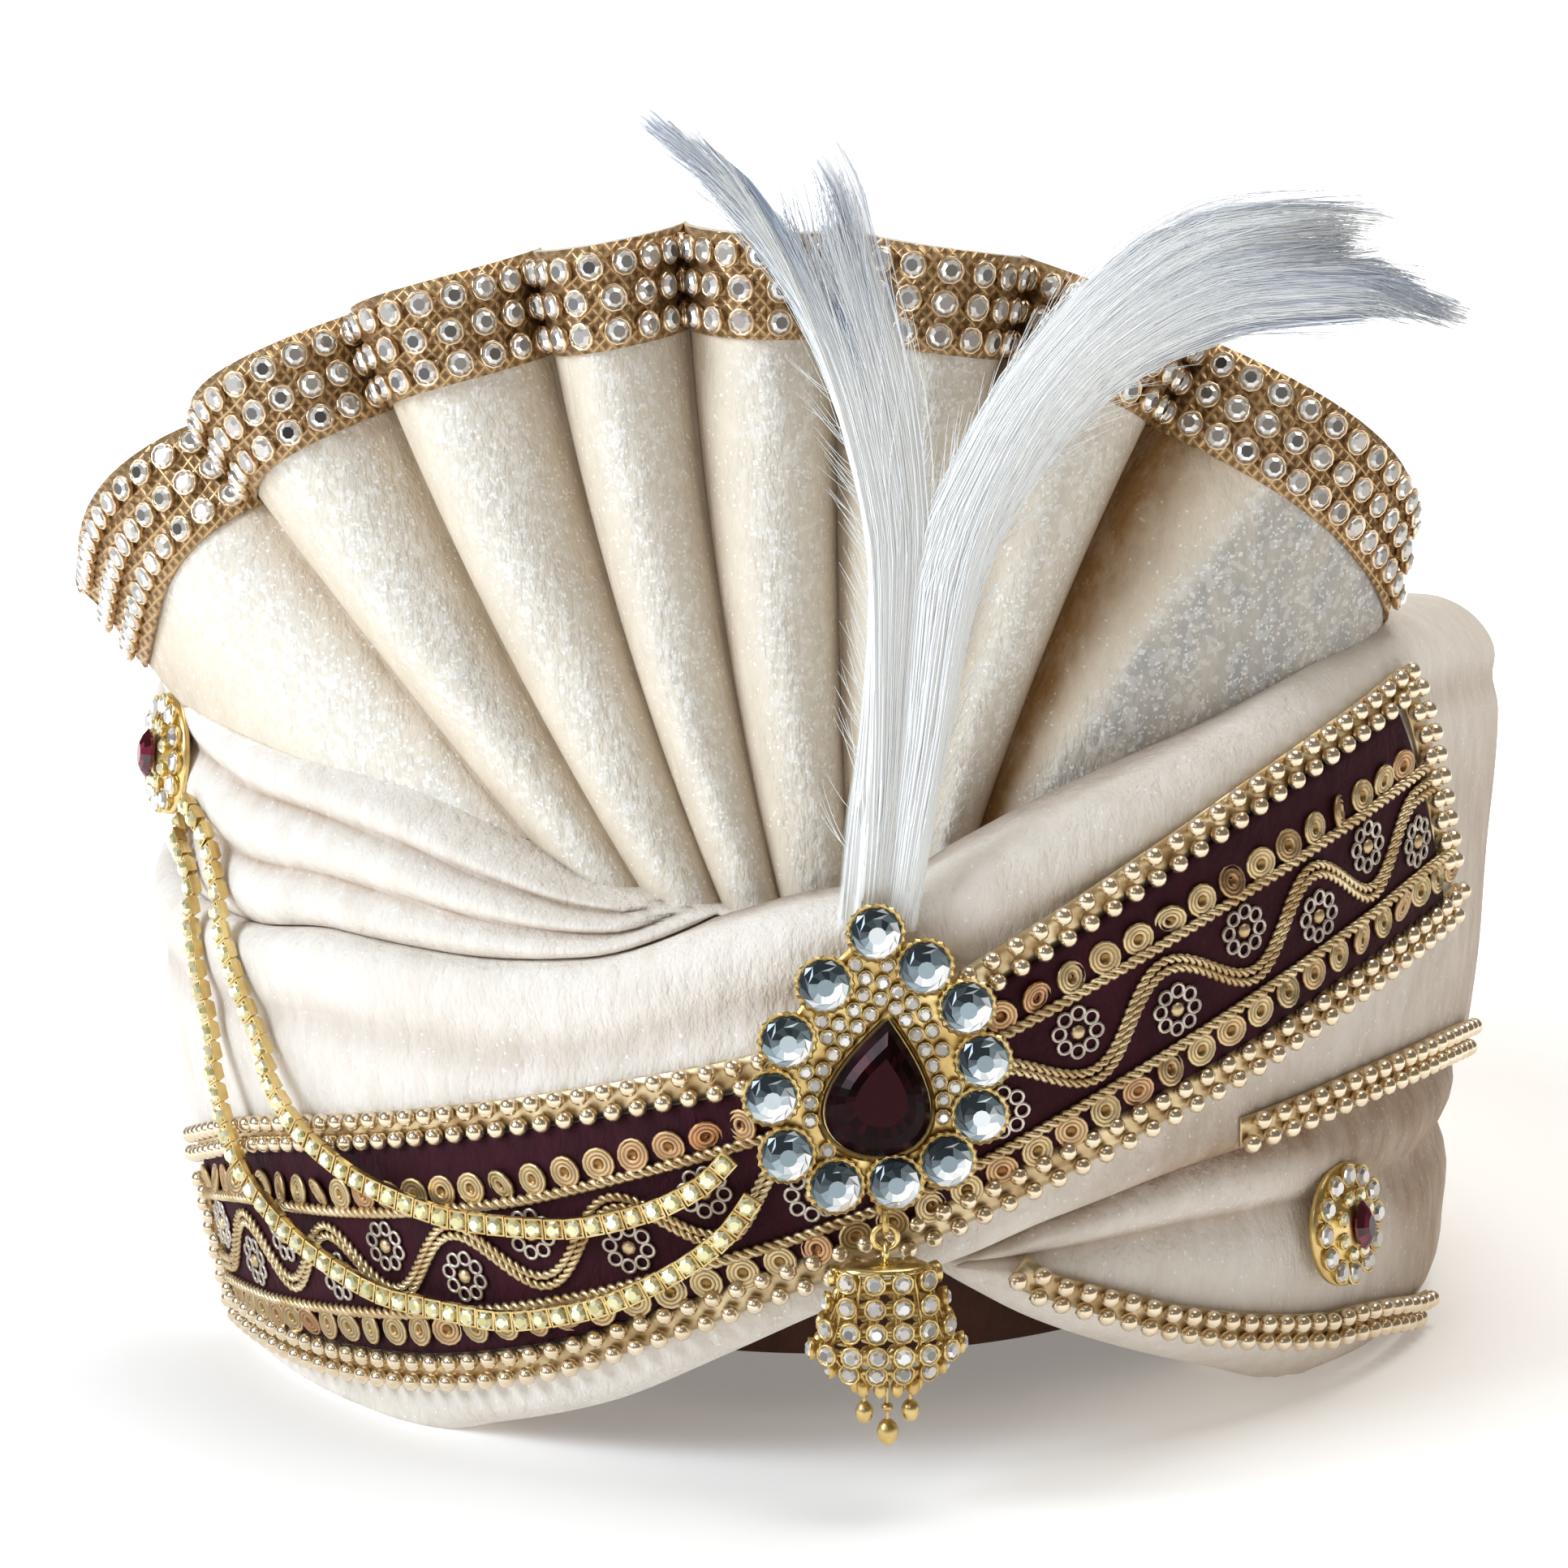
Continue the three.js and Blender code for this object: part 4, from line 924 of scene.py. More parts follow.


# %% [markdown]
# The sheet gets more points near the valleys, where it turns sharply. Two fields go with it: how much painted
# shade lies in a valley, and how much painted silver sheen the pleat shows across its middle and right. The
# last pleat at the right has a painted dark shade on its left flank and a painted grey shade on its right,
# with a warm band between and a border that slants across it.

# %% Fan: the cloth
across = np.concatenate([[0, 0.02, 0.05, 0.09, 0.14], np.linspace(0.2, 0.8, 11), [0.86, 0.91, 0.95, 0.98]])
pleats = np.concatenate([(np.arange(8)[:, None] + across[None]).ravel(), [8.0]])[:, None]
upwards = np.linspace(0, 1, FAN_ROWS)[None, :]
reach = mix(fan_foot(pleats), fan_radius(pleats), upwards)
slack = 0.5 * np.sin(reach / 9 + 5 * pleats) * np.sin(np.pi * pleats) ** 2
front = fan_point(pleats, reach, FAN_WALL / 2 + slack)
back = fan_point(pleats, reach, -FAN_WALL / 2 + slack)
flank = pleats - np.floor(np.minimum(pleats, 7.999))
last = pleats > 7
# Painted shade in the valleys, stronger towards the right, and over the last pleat's left flank.
deep = np.interp(pleats, [0, 5, 6.3, 7, 8], [0.4, 0.4, 0.7, 1.0, 1.0])
border = mix(0.2, 0.42, upwards)
valley = np.where(last, 1 - within_share(flank, 0.06, 0.8 * border), deep * (1 - ridge_of(pleats)) ** 1.3)
# Painted sheen across the middle and right of each pleat; on the last pleat, a painted grey shade right of
# the border.
painted_sheen_shade = 0.6 * within_share(flank, 0.22, 0.5) * (1 - within_share(flank, 0.82, 1.0))
painted_sheen_shade = np.where(last, within_share(flank - border, -0.04, 0.04), painted_sheen_shade)
valley, painted_sheen_shade = np.broadcast_arrays(valley, painted_sheen_shade, reach)[:2]
fan = new_piece(
    "fan_cloth",
    plate(front, back),
    IVORY,
    "ivory_tissue",
    crease=np.tile(valley.ravel(), 2),
    silver=np.tile(painted_sheen_shade.ravel(), 2),
)
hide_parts("fan")

# %% [markdown]
# Along the fan's edge runs a lace: a rose-gold net with three rows of stones in gold cups. The net is a
# thin sheet that follows the pleats, and its threads are two slanting waves in the finish, since they are
# too fine to model.

# %% Lace net
LACE_LIFT = 0.5
LACE_WALL = 0.7

lace_reach = fan_radius(pleats) - LACE_WIDTH * np.linspace(1, 0, 7)[None, :]
foot = FAN_WALL / 2 + LACE_LIFT
net_front = fan_point(pleats, lace_reach, foot + LACE_WALL)
net_back = fan_point(pleats, lace_reach, foot)


def lace_net():
    """Rose-gold net: two sets of slanting threads, raised and bright, over a dull tan ground."""
    material, first, shader = new_finish("rose_gold_net")
    place = place_of(first)
    threads = None
    for slant in (0.7, -0.7):
        slanted = {"Vector": place, "Rotation": (0.0, slant, 0.0)}
        turned_place = first.node("ShaderNodeMapping", sockets=slanted)
        sockets = {"Vector": turned_place, "Scale": 190.0, "Distortion": 0.6, "Detail": 1.0}
        wave = first.node("ShaderNodeTexWave", {"bands_direction": "X"}, sockets, output=1)
        threads = wave if threads is None else first.math("MAXIMUM", threads, wave)
    fine = grain(first, 900.0)
    feed(
        shader,
        Base_Color=blend(first, threads * (0.6 + 0.5 * fine), ink("7d5834"), ink("cfae7e")),
        Roughness=0.55 - 0.2 * threads,
        Metallic=0.25 + 0.5 * threads,
        Normal=relief(first, threads + 0.3 * fine, 0.0004),
    )
    return material


net = new_piece("lace_net", plate(net_front, net_back), lace_net(), "rose_gold_lace")
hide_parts("fan_lace")


# %% [markdown]
# The stones of the lace are sewn on in gold cups. A cup and its stone are turned once, with few sides, and
# copied along three lines of the fan. Each pleat has an even run of its own, clear of the valleys, where a
# cup would poke through to the back.

# %% Lace stones
LACE_PITCH = 4.95
LACE_ROWS = (3.2, 8.6, 14.0)
CUP_RADIUS = 2.4


def even_steps(path, pitch, offset=0.5):
    """Places, as shares of the path's samples, that are a pitch apart along its length."""
    length = np.concatenate([[0], np.cumsum(np.linalg.norm(np.diff(path, axis=0), axis=1))])
    count = max(1, int(length[-1] / pitch))
    stops = (np.arange(count) + offset) * (length[-1] / count)
    return np.interp(stops, length, np.arange(len(path)))


def at_steps(values, steps):
    """Values of a sampled path at fractional samples."""
    low = np.clip(np.floor(steps).astype(int), 0, len(values) - 2)
    share = (steps - low).reshape((-1,) + (1,) * (values.ndim - 1))
    return mix(values[low], values[low + 1], share)


def frames_of(along, facing):
    """Frames whose Z faces out and whose X runs along a path."""
    z = unit(facing)
    x = unit(along - (along * z).sum(-1, keepdims=True) * z)
    return np.stack([x, np.cross(z, x), z], 1)


def lace_places():
    """Places and frames of the cups: an even run of them on each line of each pleat."""
    places = []
    frames = []
    for pleat, inset in itertools.product(range(8), LACE_ROWS):
        fine = pleat + np.linspace(0.01, 0.99, 800)
        path = fan_point(fine, fan_radius(fine) - inset, foot + LACE_WALL)
        inner = fan_point(fine, fan_radius(fine) - inset - 2, foot + LACE_WALL)
        along = np.gradient(path, axis=0)
        facing = np.cross(along, path - inner)
        steps = even_steps(path, LACE_PITCH)
        places.append(at_steps(path, steps))
        frames.append(frames_of(at_steps(along, steps), at_steps(facing, steps)))
    return np.concatenate(places), np.concatenate(frames)


def cup(radius, depth, sides=10):
    """Round cup: a wall that flares to a thick rolled lip, then dips inside to the stone's seat."""
    profile = [(0.55, 0), (0.9, 0.35), (1.0, 0.85), (0.95, 1.0), (0.8, 0.95), (0.76, 0.7)]
    return turned_to(radius, depth, profile, sides)


def brilliant(radius, height, sides=8, table=0.55):
    """Round stone: a girdle, a band of crown facets and a flat table."""
    profile = [(0.7, -0.35), (1.0, 0.0), (0.82, 0.6), (table, 1.0)]
    return turned_to(radius, height, profile, sides)


places, frames = lace_places()
new_piece("lace_cups", repeat(cup(CUP_RADIUS, 1.7), places, frames), CUP_GOLD, "rose_gold_lace")
stones = repeat(brilliant(CUP_RADIUS * 0.8, 1.0), places + 1.25 * frames[:, 2], frames)
glass_piece("lace_stones", stones, CLEAR, cut_tones(stones, (0.55, 1.0), (0.0, 0.5)))

# %% [markdown]
# The brocade band is a strip of maroon velvet on the over wrap, with slanted ends. Projecting a flat strip
# onto the wrap would stretch it at the sides, so the strip is drawn on the wrap itself: a table gives its two
# edges, and the over wrap's own face gives the distance out.

# %% Brocade cloth
BAND = [
    (-78, 3, 38),
    (-60, 4.5, 51),
    (-45, 8, 59),
    (-30, 15.5, 67),
    (-20, 24, 72.5),
    (-10, 33, 78),
    (0, 41, 86),
    (10, 50, 97.5),
    (20, 58.5, 109),
    (30, 66, 119),
    (40, 73, 126),
    (50, 78, 131),
    (57, 80, 132),
]
BAND_ENDS = {"left_low": -76.0, "left_high": -79.0, "right_low": 57.5, "right_high": 49.0}
TRIM_WIDTH = 6.8
TRIM_HEIGHT = 3.0
TRIM_END = 0.014
BAND_CLOTH = 1.2
END_SHARE = 0.03

band_low = curve_of(BAND, 1)
band_high = curve_of(BAND, 2)


def band_spot(along, across_band, margin):
    """Turn and height at a share along and across the band, clear of both edges by a margin."""
    left = mix(BAND_ENDS["left_low"], BAND_ENDS["left_high"], across_band)
    right = mix(BAND_ENDS["right_low"], BAND_ENDS["right_high"], across_band)
    turn = mix(left, right, along)
    return turn, mix(band_low(turn) + margin, band_high(turn) - margin, across_band)


def facing_of(face, turn, height):
    """Outward normal of a cloth face, from its slopes along the turn and up the height."""
    sideways = spot_on(face, turn + 0.5, height) - spot_on(face, turn - 0.5, height)
    upwards = spot_on(face, turn, height + 0.5) - spot_on(face, turn, height - 0.5)
    return unit(np.cross(sideways, upwards))


def on_face(face, turn, height, lift):
    """Point on a cloth face, lifted square off it."""
    return spot_on(face, turn, height) + lift * facing_of(face, turn, height)


share_along = np.linspace(END_SHARE, 1 - END_SHARE, 150)[:, None]
share_across = np.linspace(0, 1, 24)[None, :]
turns, heights = band_spot(share_along, share_across, TRIM_WIDTH - 0.2)
cloth = plate(
    around(turns, over_face(turns, heights) + GAP + BAND_CLOTH, heights),
    around(turns, over_face(turns, heights) + GAP, heights),
)
brocade = new_piece("brocade_cloth", cloth, MAROON, "maroon_velvet", crease=np.zeros(len(cloth[0])))
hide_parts("brocade_band")

# %% [markdown]
# The band's ornament is applied, so it is modelled as the real thing: coils of wire in rows, pairs of twisted
# cords, a wave of double braid and flowers of small rings. Each lies at a turn from the front and an offset
# square to the band's middle line. A step sideways leaves the cloth, so the point is put back onto it.

# %% Places on the band
ORNAMENT_LIFT = GAP + BAND_CLOTH
MIDDLE_DROP = 2.0
FULL_HALF = 22.5


def middle_of(turn):
    """Height of the ornament's middle line, a little below the band's own."""
    return 0.5 * (band_low(turn) + band_high(turn)) - MIDDLE_DROP


def on_band(turn, offset, lift):
    """Point and normal at an offset square to the middle line, put back onto the cloth after the step."""
    here, ahead, behind = [spot_on(over_face, t, middle_of(t)) for t in (turn, turn + 0.5, turn - 0.5)]
    normal = facing_of(over_face, turn, middle_of(turn))
    square = unit(np.cross(normal, ahead - behind))
    squeeze = np.minimum(1.0, (band_high(turn) - band_low(turn)) / (2 * FULL_HALF))
    moved = here + square * (offset * squeeze)[..., None]
    height_there = moved[..., 2]
    turn_there = turn_of(moved, over_face(turn, height_there))
    return on_face(over_face, turn_there, height_there, lift), facing_of(over_face, turn_there, height_there)


# %% [markdown]
# A twisted cord is two thin strands wound round a shared line. Its height over the cloth changes with the
# twist, and that is what makes it glint in short slanting dashes, so the strands are real helices.

# %% Cords and wave
CORD_STRAND = 0.62
CORD_TWIST = 3.6
CORD_OFFSET = 9.2
WAVE_REACH = 5.4
WAVE_SPREAD = 0.95
WAVE_STRAND = 0.5
WAVE_TWIST = 3.0
FLOWER_TURNS = (-71, -64.5, -57.8, -50.9, -44, -36.6, -29.3, -21.9, -14.7)
FLOWER_TURNS += (-7.4, 0, 7.0, 14.0, 21.2, 28.0, 34.8, 41.0, 47.5)

flower_index = curve_of([(t, k) for k, t in enumerate(FLOWER_TURNS)])


def twisted(points, facing, strand, wind):
    """Two strands wound round a line: each is a helix of its own radius, half a turn apart."""
    length = np.concatenate([[0], np.cumsum(np.linalg.norm(np.diff(points, axis=0), axis=1))])
    even = np.linspace(0, length[-1], int(length[-1] / 0.55))
    line = np.stack([np.interp(even, length, points[:, k]) for k in range(3)], 1)
    up = unit(np.stack([np.interp(even, length, facing[:, k]) for k in range(3)], 1))
    side = unit(np.cross(up, np.gradient(line, axis=0)))
    strands = []
    for start in (0.0, np.pi):
        angle = 2 * np.pi * even / wind + start
        centre = line + strand * (np.cos(angle)[:, None] * side + (1.0 + 0.75 * np.sin(angle))[:, None] * up)
        strands.append(swept(centre, strand * 0.86, 5, up))
    return together(*strands)


def band_line(offset_at, first, last, steps=420):
    """Points and normals along the band at an offset that depends on the turn."""
    turn = np.linspace(first, last, steps)
    return on_band(turn, offset_at(turn), ORNAMENT_LIFT)


def wave_offset(turn):
    """Wave whose crests pass over the low flowers and whose troughs pass under the high ones."""
    return -WAVE_REACH * np.cos(np.pi * flower_index(turn))


cord_lines = [
    band_line(lambda t: 0 * t + CORD_OFFSET, -75.0, 49.5),
    band_line(lambda t: 0 * t - CORD_OFFSET, -73.5, 54.0),
]
cords = together(*[twisted(p, n, CORD_STRAND, CORD_TWIST) for p, n in cord_lines])
new_piece("brocade_cords", cords, THREAD_GOLD, "gold_metal")

wave_lines = [
    band_line(lambda t: wave_offset(t) + WAVE_SPREAD, -74.0, 51.0, 900),
    band_line(lambda t: wave_offset(t) - WAVE_SPREAD, -74.0, 51.0, 900),
]
wave = together(*[twisted(p, n, WAVE_STRAND, WAVE_TWIST) for p, n in wave_lines])
new_piece("brocade_wave", wave, THREAD_GOLD, "gold_metal")

# %% [markdown]
# Along both edges of the band sit flat coils of wire, side by side. A real coil is one wire wound in rings,
# so the disc is turned from a profile that rises and falls. Each copy is tipped a little, as sewn-on coils
# are, and is gold or copper by a random number.

# %% Coils
COIL_OFFSET = 12.3
COIL_PITCH = 6.5
COIL_RADIUS = 2.95
COIL_PROFILE = [(1.0, 0.05), (1.0, 0.5), (0.9, 0.8), (0.78, 0.4), (0.66, 0.85)]
COIL_PROFILE += [(0.54, 0.4), (0.42, 0.85), (0.3, 0.4), (0.2, 0.1)]


def coil_places():
    """Places and frames of the coils along both rows, each a little tipped."""
    places = []
    frames = []
    for hand, first, last in ((1, -74.0, 47.5), (-1, -72.5, 55.0)):
        points, facing = band_line(lambda t, h=hand: 0 * t + h * COIL_OFFSET, first, last)
        steps = even_steps(points, COIL_PITCH)
        tip = facing + 0.16 * rng.normal(size=facing.shape)
        places.append(at_steps(points, steps))
        frames.append(frames_of(at_steps(np.gradient(points, axis=0), steps), at_steps(tip, steps)))
    return np.concatenate(places), np.concatenate(frames)


places, frames = coil_places()
disc = turned_to(COIL_RADIUS, 1.0, COIL_PROFILE, 14)
coils = repeat(disc, places, frames)
ridge = np.tile(within_share(disc[0][:, 2], 0.4, 0.8), len(places))
warm = np.repeat(rng.uniform(0, 1, len(places)) ** 2.2, len(disc[0]))
new_piece("brocade_coils", coils, COIL, "gold_metal", warm=warm, ridge=ridge)

# %% [markdown]
# Each flower is a ring of little wire rings about a bead. A ring is a circle carried round a circle with
# few sides, and all the rings of all the flowers are one array.

# %% Flowers on the band
RING_RADIUS = 1.18
RING_WIRE = 0.36
PETALS = 8
PETAL_REACH = 3.35
FLOWER_REACH = 3.0


def wire_ring(radius, wire, sides=12, round_sides=6):
    """Torus about Z: a small circle carried round a large one."""
    a = 2 * np.pi * np.arange(sides)[:, None] / sides
    b = 2 * np.pi * np.arange(round_sides)[None, :] / round_sides
    out = radius + wire * np.cos(b)
    points = np.stack(np.broadcast_arrays(out * np.cos(a), out * np.sin(a), wire * np.sin(b)), -1)
    return outward((points.reshape(-1, 3), [grid_faces(sides, round_sides, True, True)]))


def bead(radius, squash=1.0, sides=8, levels=6):
    """Round bead: rings of a sphere between two small flat ends."""
    angle = np.linspace(-0.47, 0.47, levels) * np.pi
    return turned(np.stack([radius * np.cos(angle), radius * squash * np.sin(angle)], 1), sides)


turn = np.array(FLOWER_TURNS, float)
offset = FLOWER_REACH * np.cos(np.pi * np.arange(len(turn)))
centres, facing = on_band(turn, offset, ORNAMENT_LIFT + 0.3)
along = np.broadcast_to(np.array([1.0, 0.0, 0.0]), centres.shape)
flower_frames = frames_of(along, facing)
petal = 2 * np.pi * np.arange(PETALS) / PETALS
petal_local = PETAL_REACH * np.stack([np.cos(petal), np.sin(petal), 0 * petal], 1)
petal_places = (np.einsum("pk,nkc->npc", petal_local, flower_frames) + centres[:, None]).reshape(-1, 3)
petal_frames = np.repeat(flower_frames, PETALS, 0)
petals = repeat(wire_ring(RING_RADIUS, RING_WIRE), petal_places, petal_frames)
new_piece("brocade_flowers", petals, SILVER_RING, "gold_metal")
hearts = repeat(bead(1.35, 0.6), centres, flower_frames)
new_piece("brocade_flower_hearts", hearts, THREAD_GOLD, "gold_metal")

# %% [markdown]
# Two staggered rows of metallic beads edge the band, close its slanted ends, and run along the two lower
# edges at the right. The beads sit on a narrow tape. A path on the cloth gives the tape, and two lines
# beside it, half a pitch out of step, give the beads.

# %% Bead rows
BEAD_RADIUS = 1.66
BEAD_PITCH = 4.5
BEAD_ROW = 1.85
TAPE_HALF = 2.7


def bead_rows(name, node, face, turn, height, lift):
    """Bead rows along a line of turns and heights on a cloth face."""
    path = on_face(face, turn, height, lift)
    facing = facing_of(face, turn, height)
    along = np.gradient(path, axis=0)
    side = unit(np.cross(facing, along))
    tape_front = np.stack([path + k * TAPE_HALF * side + 0.35 * facing for k in (-1, -0.33, 0.33, 1)], 1)
    tape_back = tape_front - 0.45 * facing[:, None]
    places = []
    frames = []
    for hand in (-1, 1):
        line = path + hand * BEAD_ROW * side
        steps = even_steps(line, BEAD_PITCH, 0.3 if hand < 0 else 0.8)
        normal = at_steps(facing, steps)
        places.append(at_steps(line, steps) + (0.3 + BEAD_RADIUS * 0.86) * normal)
        frames.append(frames_of(at_steps(along, steps), normal))
    shape = repeat(bead(BEAD_RADIUS, 0.92, 10, 7), np.concatenate(places), np.concatenate(frames))
    beads = new_piece(name, shape, PEARL, "pearl_gold_bead")
    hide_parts(node)
    new_piece(name + "_tape", plate(tape_front, tape_back), THREAD_GOLD, "pearl_gold_bead")


def joined_spots(edge, end):
    """One line of turns and heights from the samples of an edge and of an end."""
    return np.concatenate([edge[0], end[0]]), np.concatenate([edge[1], end[1]])


margin = TRIM_WIDTH / 2
shares = np.linspace(0, 1, 320)
upper_edge = band_spot((1 - TRIM_END) * shares, 1.0 + 0 * shares, margin)
upper_end = band_spot(1 - TRIM_END + 0 * shares[:60], np.linspace(0.97, 0.17, 60), margin)
bead_rows("beads_upper", "bead_trim_upper", over_face, *joined_spots(upper_edge, upper_end), GAP)
lower_edge = band_spot(1 - (1 - TRIM_END) * shares, 0.0 * shares, margin)
lower_end = band_spot(TRIM_END + 0 * shares[:60], np.linspace(0.03, 0.8, 60), margin)
bead_rows("beads_lower", "bead_trim_lower", over_face, *joined_spots(lower_edge, lower_end), GAP)

RIGHT_UPPER = [(29, 5), (36, 5.8), (43, 6.6), (50, 7), (55, 6.9), (61, 6.2), (67, 4.9)]
RIGHT_LOWER = [
    (10, 9.3),
    (16, 10),
    (22, 9.9),
    (30, 10.4),
    (38, 11.5),
    (42, 12.6),
    (46, 11.8),
    (50, 10.5),
    (54, 8.8),
    (58, 6.8),
    (62.5, 4.9),
]
for name, node, rows, edge, face, lift in (
    ("beads_right_upper", "bead_trim_right_upper", RIGHT_UPPER, over_low, over_face, GAP),
    ("beads_right_lower", "bead_trim_right_lower", RIGHT_LOWER, under_low, under_face, 3 * GAP),
):
    turn = np.linspace(rows[0][0], rows[-1][0], 200)
    bead_rows(name, node, face, turn, np.maximum(0, edge(turn)) + curve_of(rows)(turn), lift)

# %% [markdown]
# The main brooch is a ring of twelve foiled stones in milled cups about a dark teardrop, with a halo of
# small crystals between them. It is made flat, with X to the right and Y up, then stood up: its own Z
# becomes the turban's front. Each part of it is an outline in a few layers, or a turned cup.

# %% Main brooch: back, bezel and cups
BROOCH_PLACE = np.array([-5.0, -147.45, 78.0])
STAND_UP = np.array([[1.0, 0, 0], [0, 0, 1.0], [0, -1.0, 0]])
PLATE = 1.4
STONE_RING = [
    (0.3, 20.6),
    (8.2, 14.6),
    (15.0, 7.6),
    (17.6, -1.4),
    (16.9, -10.6),
    (11.5, -18.0),
    (2.9, -21.3),
    (-6.8, -21.5),
    (-14.7, -15.9),
    (-17.1, -6.2),
    (-14.4, 3.2),
    (-8.2, 12.3),
]
TEAR_WIDE = 17.6
TEAR_HIGH = 23.0
TEAR_LEAN = np.radians(-7.0)
TEAR_PLACE = np.array([0.6, -5.0, 0.0])


def stood(shape):
    """A flat brooch shape in the turban's own frame."""
    points, faces = shape
    return points @ STAND_UP + BROOCH_PLACE, faces


def flat_frames(count):
    """Frames of shapes that face straight out of the brooch."""
    return np.broadcast_to(np.eye(3), (count, 3, 3))


def tear_outline(wide, high, sides):
    """Teardrop with its tip up: sin(a) sin(a / 2)^1.15 across, cos(a) up, leaning to the left."""
    a = 2 * np.pi * np.arange(sides) / sides
    x = np.sin(a) * np.abs(np.sin(a / 2)) ** 1.15 * wide / 1.52
    y = np.cos(a) * high / 2
    lean = np.array([[np.cos(TEAR_LEAN), np.sin(TEAR_LEAN)], [-np.sin(TEAR_LEAN), np.cos(TEAR_LEAN)]])
    return np.stack([x, y], 1) @ lean + TEAR_PLACE[:2]


def milled_cup(radius, depth, teeth=20):
    """Cup whose lip is cut into small beads: every second side stands out a little."""
    profile = [(0.8, 0), (0.97, 0.4), (1.02, 0.85), (0.97, 1.0), (0.88, 0.95)]
    points, faces = turned_to(radius, depth, profile, 2 * teeth)
    side = np.arange(len(points)) % (2 * teeth)
    points[:, :2] *= np.where(side % 2 == 0, 1.035, 0.97)[:, None]
    return points, faces


def backing_outline():
    """Pear-shaped back: straight from stone to stone, a little outside their middles."""
    share = np.linspace(0, 1, 8, endpoint=False)[None, :, None]
    spots = np.array(STONE_RING)[:, None]
    return mix(spots, np.roll(spots, -1, 0), share).reshape(-1, 2) * 1.06


tear_edge = tear_outline(TEAR_WIDE, TEAR_HIGH, 40)
tear_middle = tear_edge.mean(0)
ring_spots = np.concatenate([STONE_RING, np.zeros((12, 1))], 1)
back_plate = layered(backing_outline(), [(0.97, 0.0), (1.0, 0.4), (1.0, 1.1), (0.97, PLATE)])
bezel = layered(tear_edge, [(1.1, PLATE - 0.2), (1.13, 2.4), (1.07, 3.1), (1.02, 2.9)], tear_middle)
collets = repeat(milled_cup(4.8, 2.3), ring_spots + [0, 0, PLATE - 0.2], flat_frames(12))


# %% [markdown]
# Small crystals fill the room between the teardrop and the ring of stones. A jeweller sets a first row along
# the teardrop and then fills what is left, and the code does the same: it goes through the places of a fine
# grid, nearest first, and keeps each one that is far enough from its neighbours.

# %% Main brooch: halo of small crystals
HALO_ROOM = 5.75
HALO_OUTSET = 2.3
HALO_PITCH = 2.9
HALO_APART = 2.75


def halo_ring(outset, pitch):
    """Places round the teardrop at a distance out from its edge."""
    edge = tear_outline(TEAR_WIDE, TEAR_HIGH, 400)
    along_edge = np.roll(edge, -1, 0) - np.roll(edge, 1, 0)
    away = unit(np.stack([-along_edge[:, 1], along_edge[:, 0]], 1))
    ring = edge + outset * away
    return at_steps(ring, even_steps(ring, pitch))


def reach_to(outline, places):
    """Distance from the teardrop's middle to an outline, towards each place."""
    middle = TEAR_PLACE[:2]
    bearing = np.arctan2(*(outline - middle).T)
    reach = np.linalg.norm(outline - middle, axis=1)
    return np.interp(np.arctan2(*(places - middle).T), bearing, reach, period=2 * np.pi)


def room_to(outline, places):
    """Distance from each place to the nearest point of an outline."""
    return np.linalg.norm(places[:, None] - outline[None], axis=2).min(1)


def halo_places():
    """Places of the small crystals: a row round the teardrop, then every free place of a fine grid."""
    edge = tear_outline(TEAR_WIDE, TEAR_HIGH, 160)
    stones = np.array(STONE_RING)
    line = np.arange(-19.0, 19.0, 0.4)
    grid = np.stack(np.meshgrid(line, line), -1).reshape(-1, 2)
    out = np.linalg.norm(grid - TEAR_PLACE[:2], axis=1)
    between = (out > reach_to(edge, grid)) & (out < reach_to(stones, grid))
    usable = grid[between & (room_to(stones, grid) > HALO_ROOM) & (room_to(edge, grid) > HALO_OUTSET)]
    first_row = halo_ring(HALO_OUTSET, HALO_PITCH)
    chosen = list(first_row[room_to(stones, first_row) > HALO_ROOM])
    for place in usable[np.argsort(room_to(edge, usable))]:
        if room_to(np.array(chosen), place[None])[0] > HALO_APART:
            chosen.append(place)
    return np.array(chosen)


halo_flat = halo_places()
halo_spots = np.concatenate([halo_flat, np.full((len(halo_flat), 1), PLATE)], 1)
halo_cups = repeat(cup(1.42, 1.5), halo_spots, flat_frames(len(halo_spots)))

# %% [markdown]
# The gold of the brooch is one casting with soldered cups, so it is one piece. Below it a lug carries a wire
# eye, and the drop's jump ring hangs in that eye.

# %% Main brooch: gold and halo pieces
EYE_PLACE = np.array([-4.0, -151.25, 50.2])
EYE_RADIUS = 1.7
WIRE = 0.55
AXIS_X = np.array([[[0, 1.0, 0], [0, 0, 1.0], [1.0, 0, 0]]])
AXIS_Y = np.array([[[1.0, 0, 0], [0, 0, -1.0], [0, 1.0, 0]]])
eye = repeat(wire_ring(EYE_RADIUS, WIRE, 28, 10), EYE_PLACE[None], AXIS_X)
lug_outline = np.array([(-0.2, -26.4), (2.2, -26.4), (2.2, -19.8), (-0.2, -19.8)])
lug_levels = [(1.0, 0.95), (1.04, 1.2), (1.04, 2.3), (1.0, 2.55)]
lug = layered(lug_outline, lug_levels, lug_outline.mean(0))

setting = together(stood(together(back_plate, bezel, collets, halo_cups, lug)), eye)
brooch = new_piece("brooch_gold", setting, GOLD, "gold_metal", smooth=False)
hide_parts("brooch_setting")
halo = stood(repeat(brilliant(1.22, 0.9), halo_spots + [0, 0, 1.15], flat_frames(len(halo_spots))))
glass_piece("brooch_halo", halo, CLEAR, cut_tones(halo, (0.45, 1.0), (0.2, 0.9)))

# %% [markdown]
# The twelve stones are domed and faceted like old rose cuts, and the teardrop is a dark cabochon with a flat
# top. Both are few faces with flat shading, since a facet is a plane.

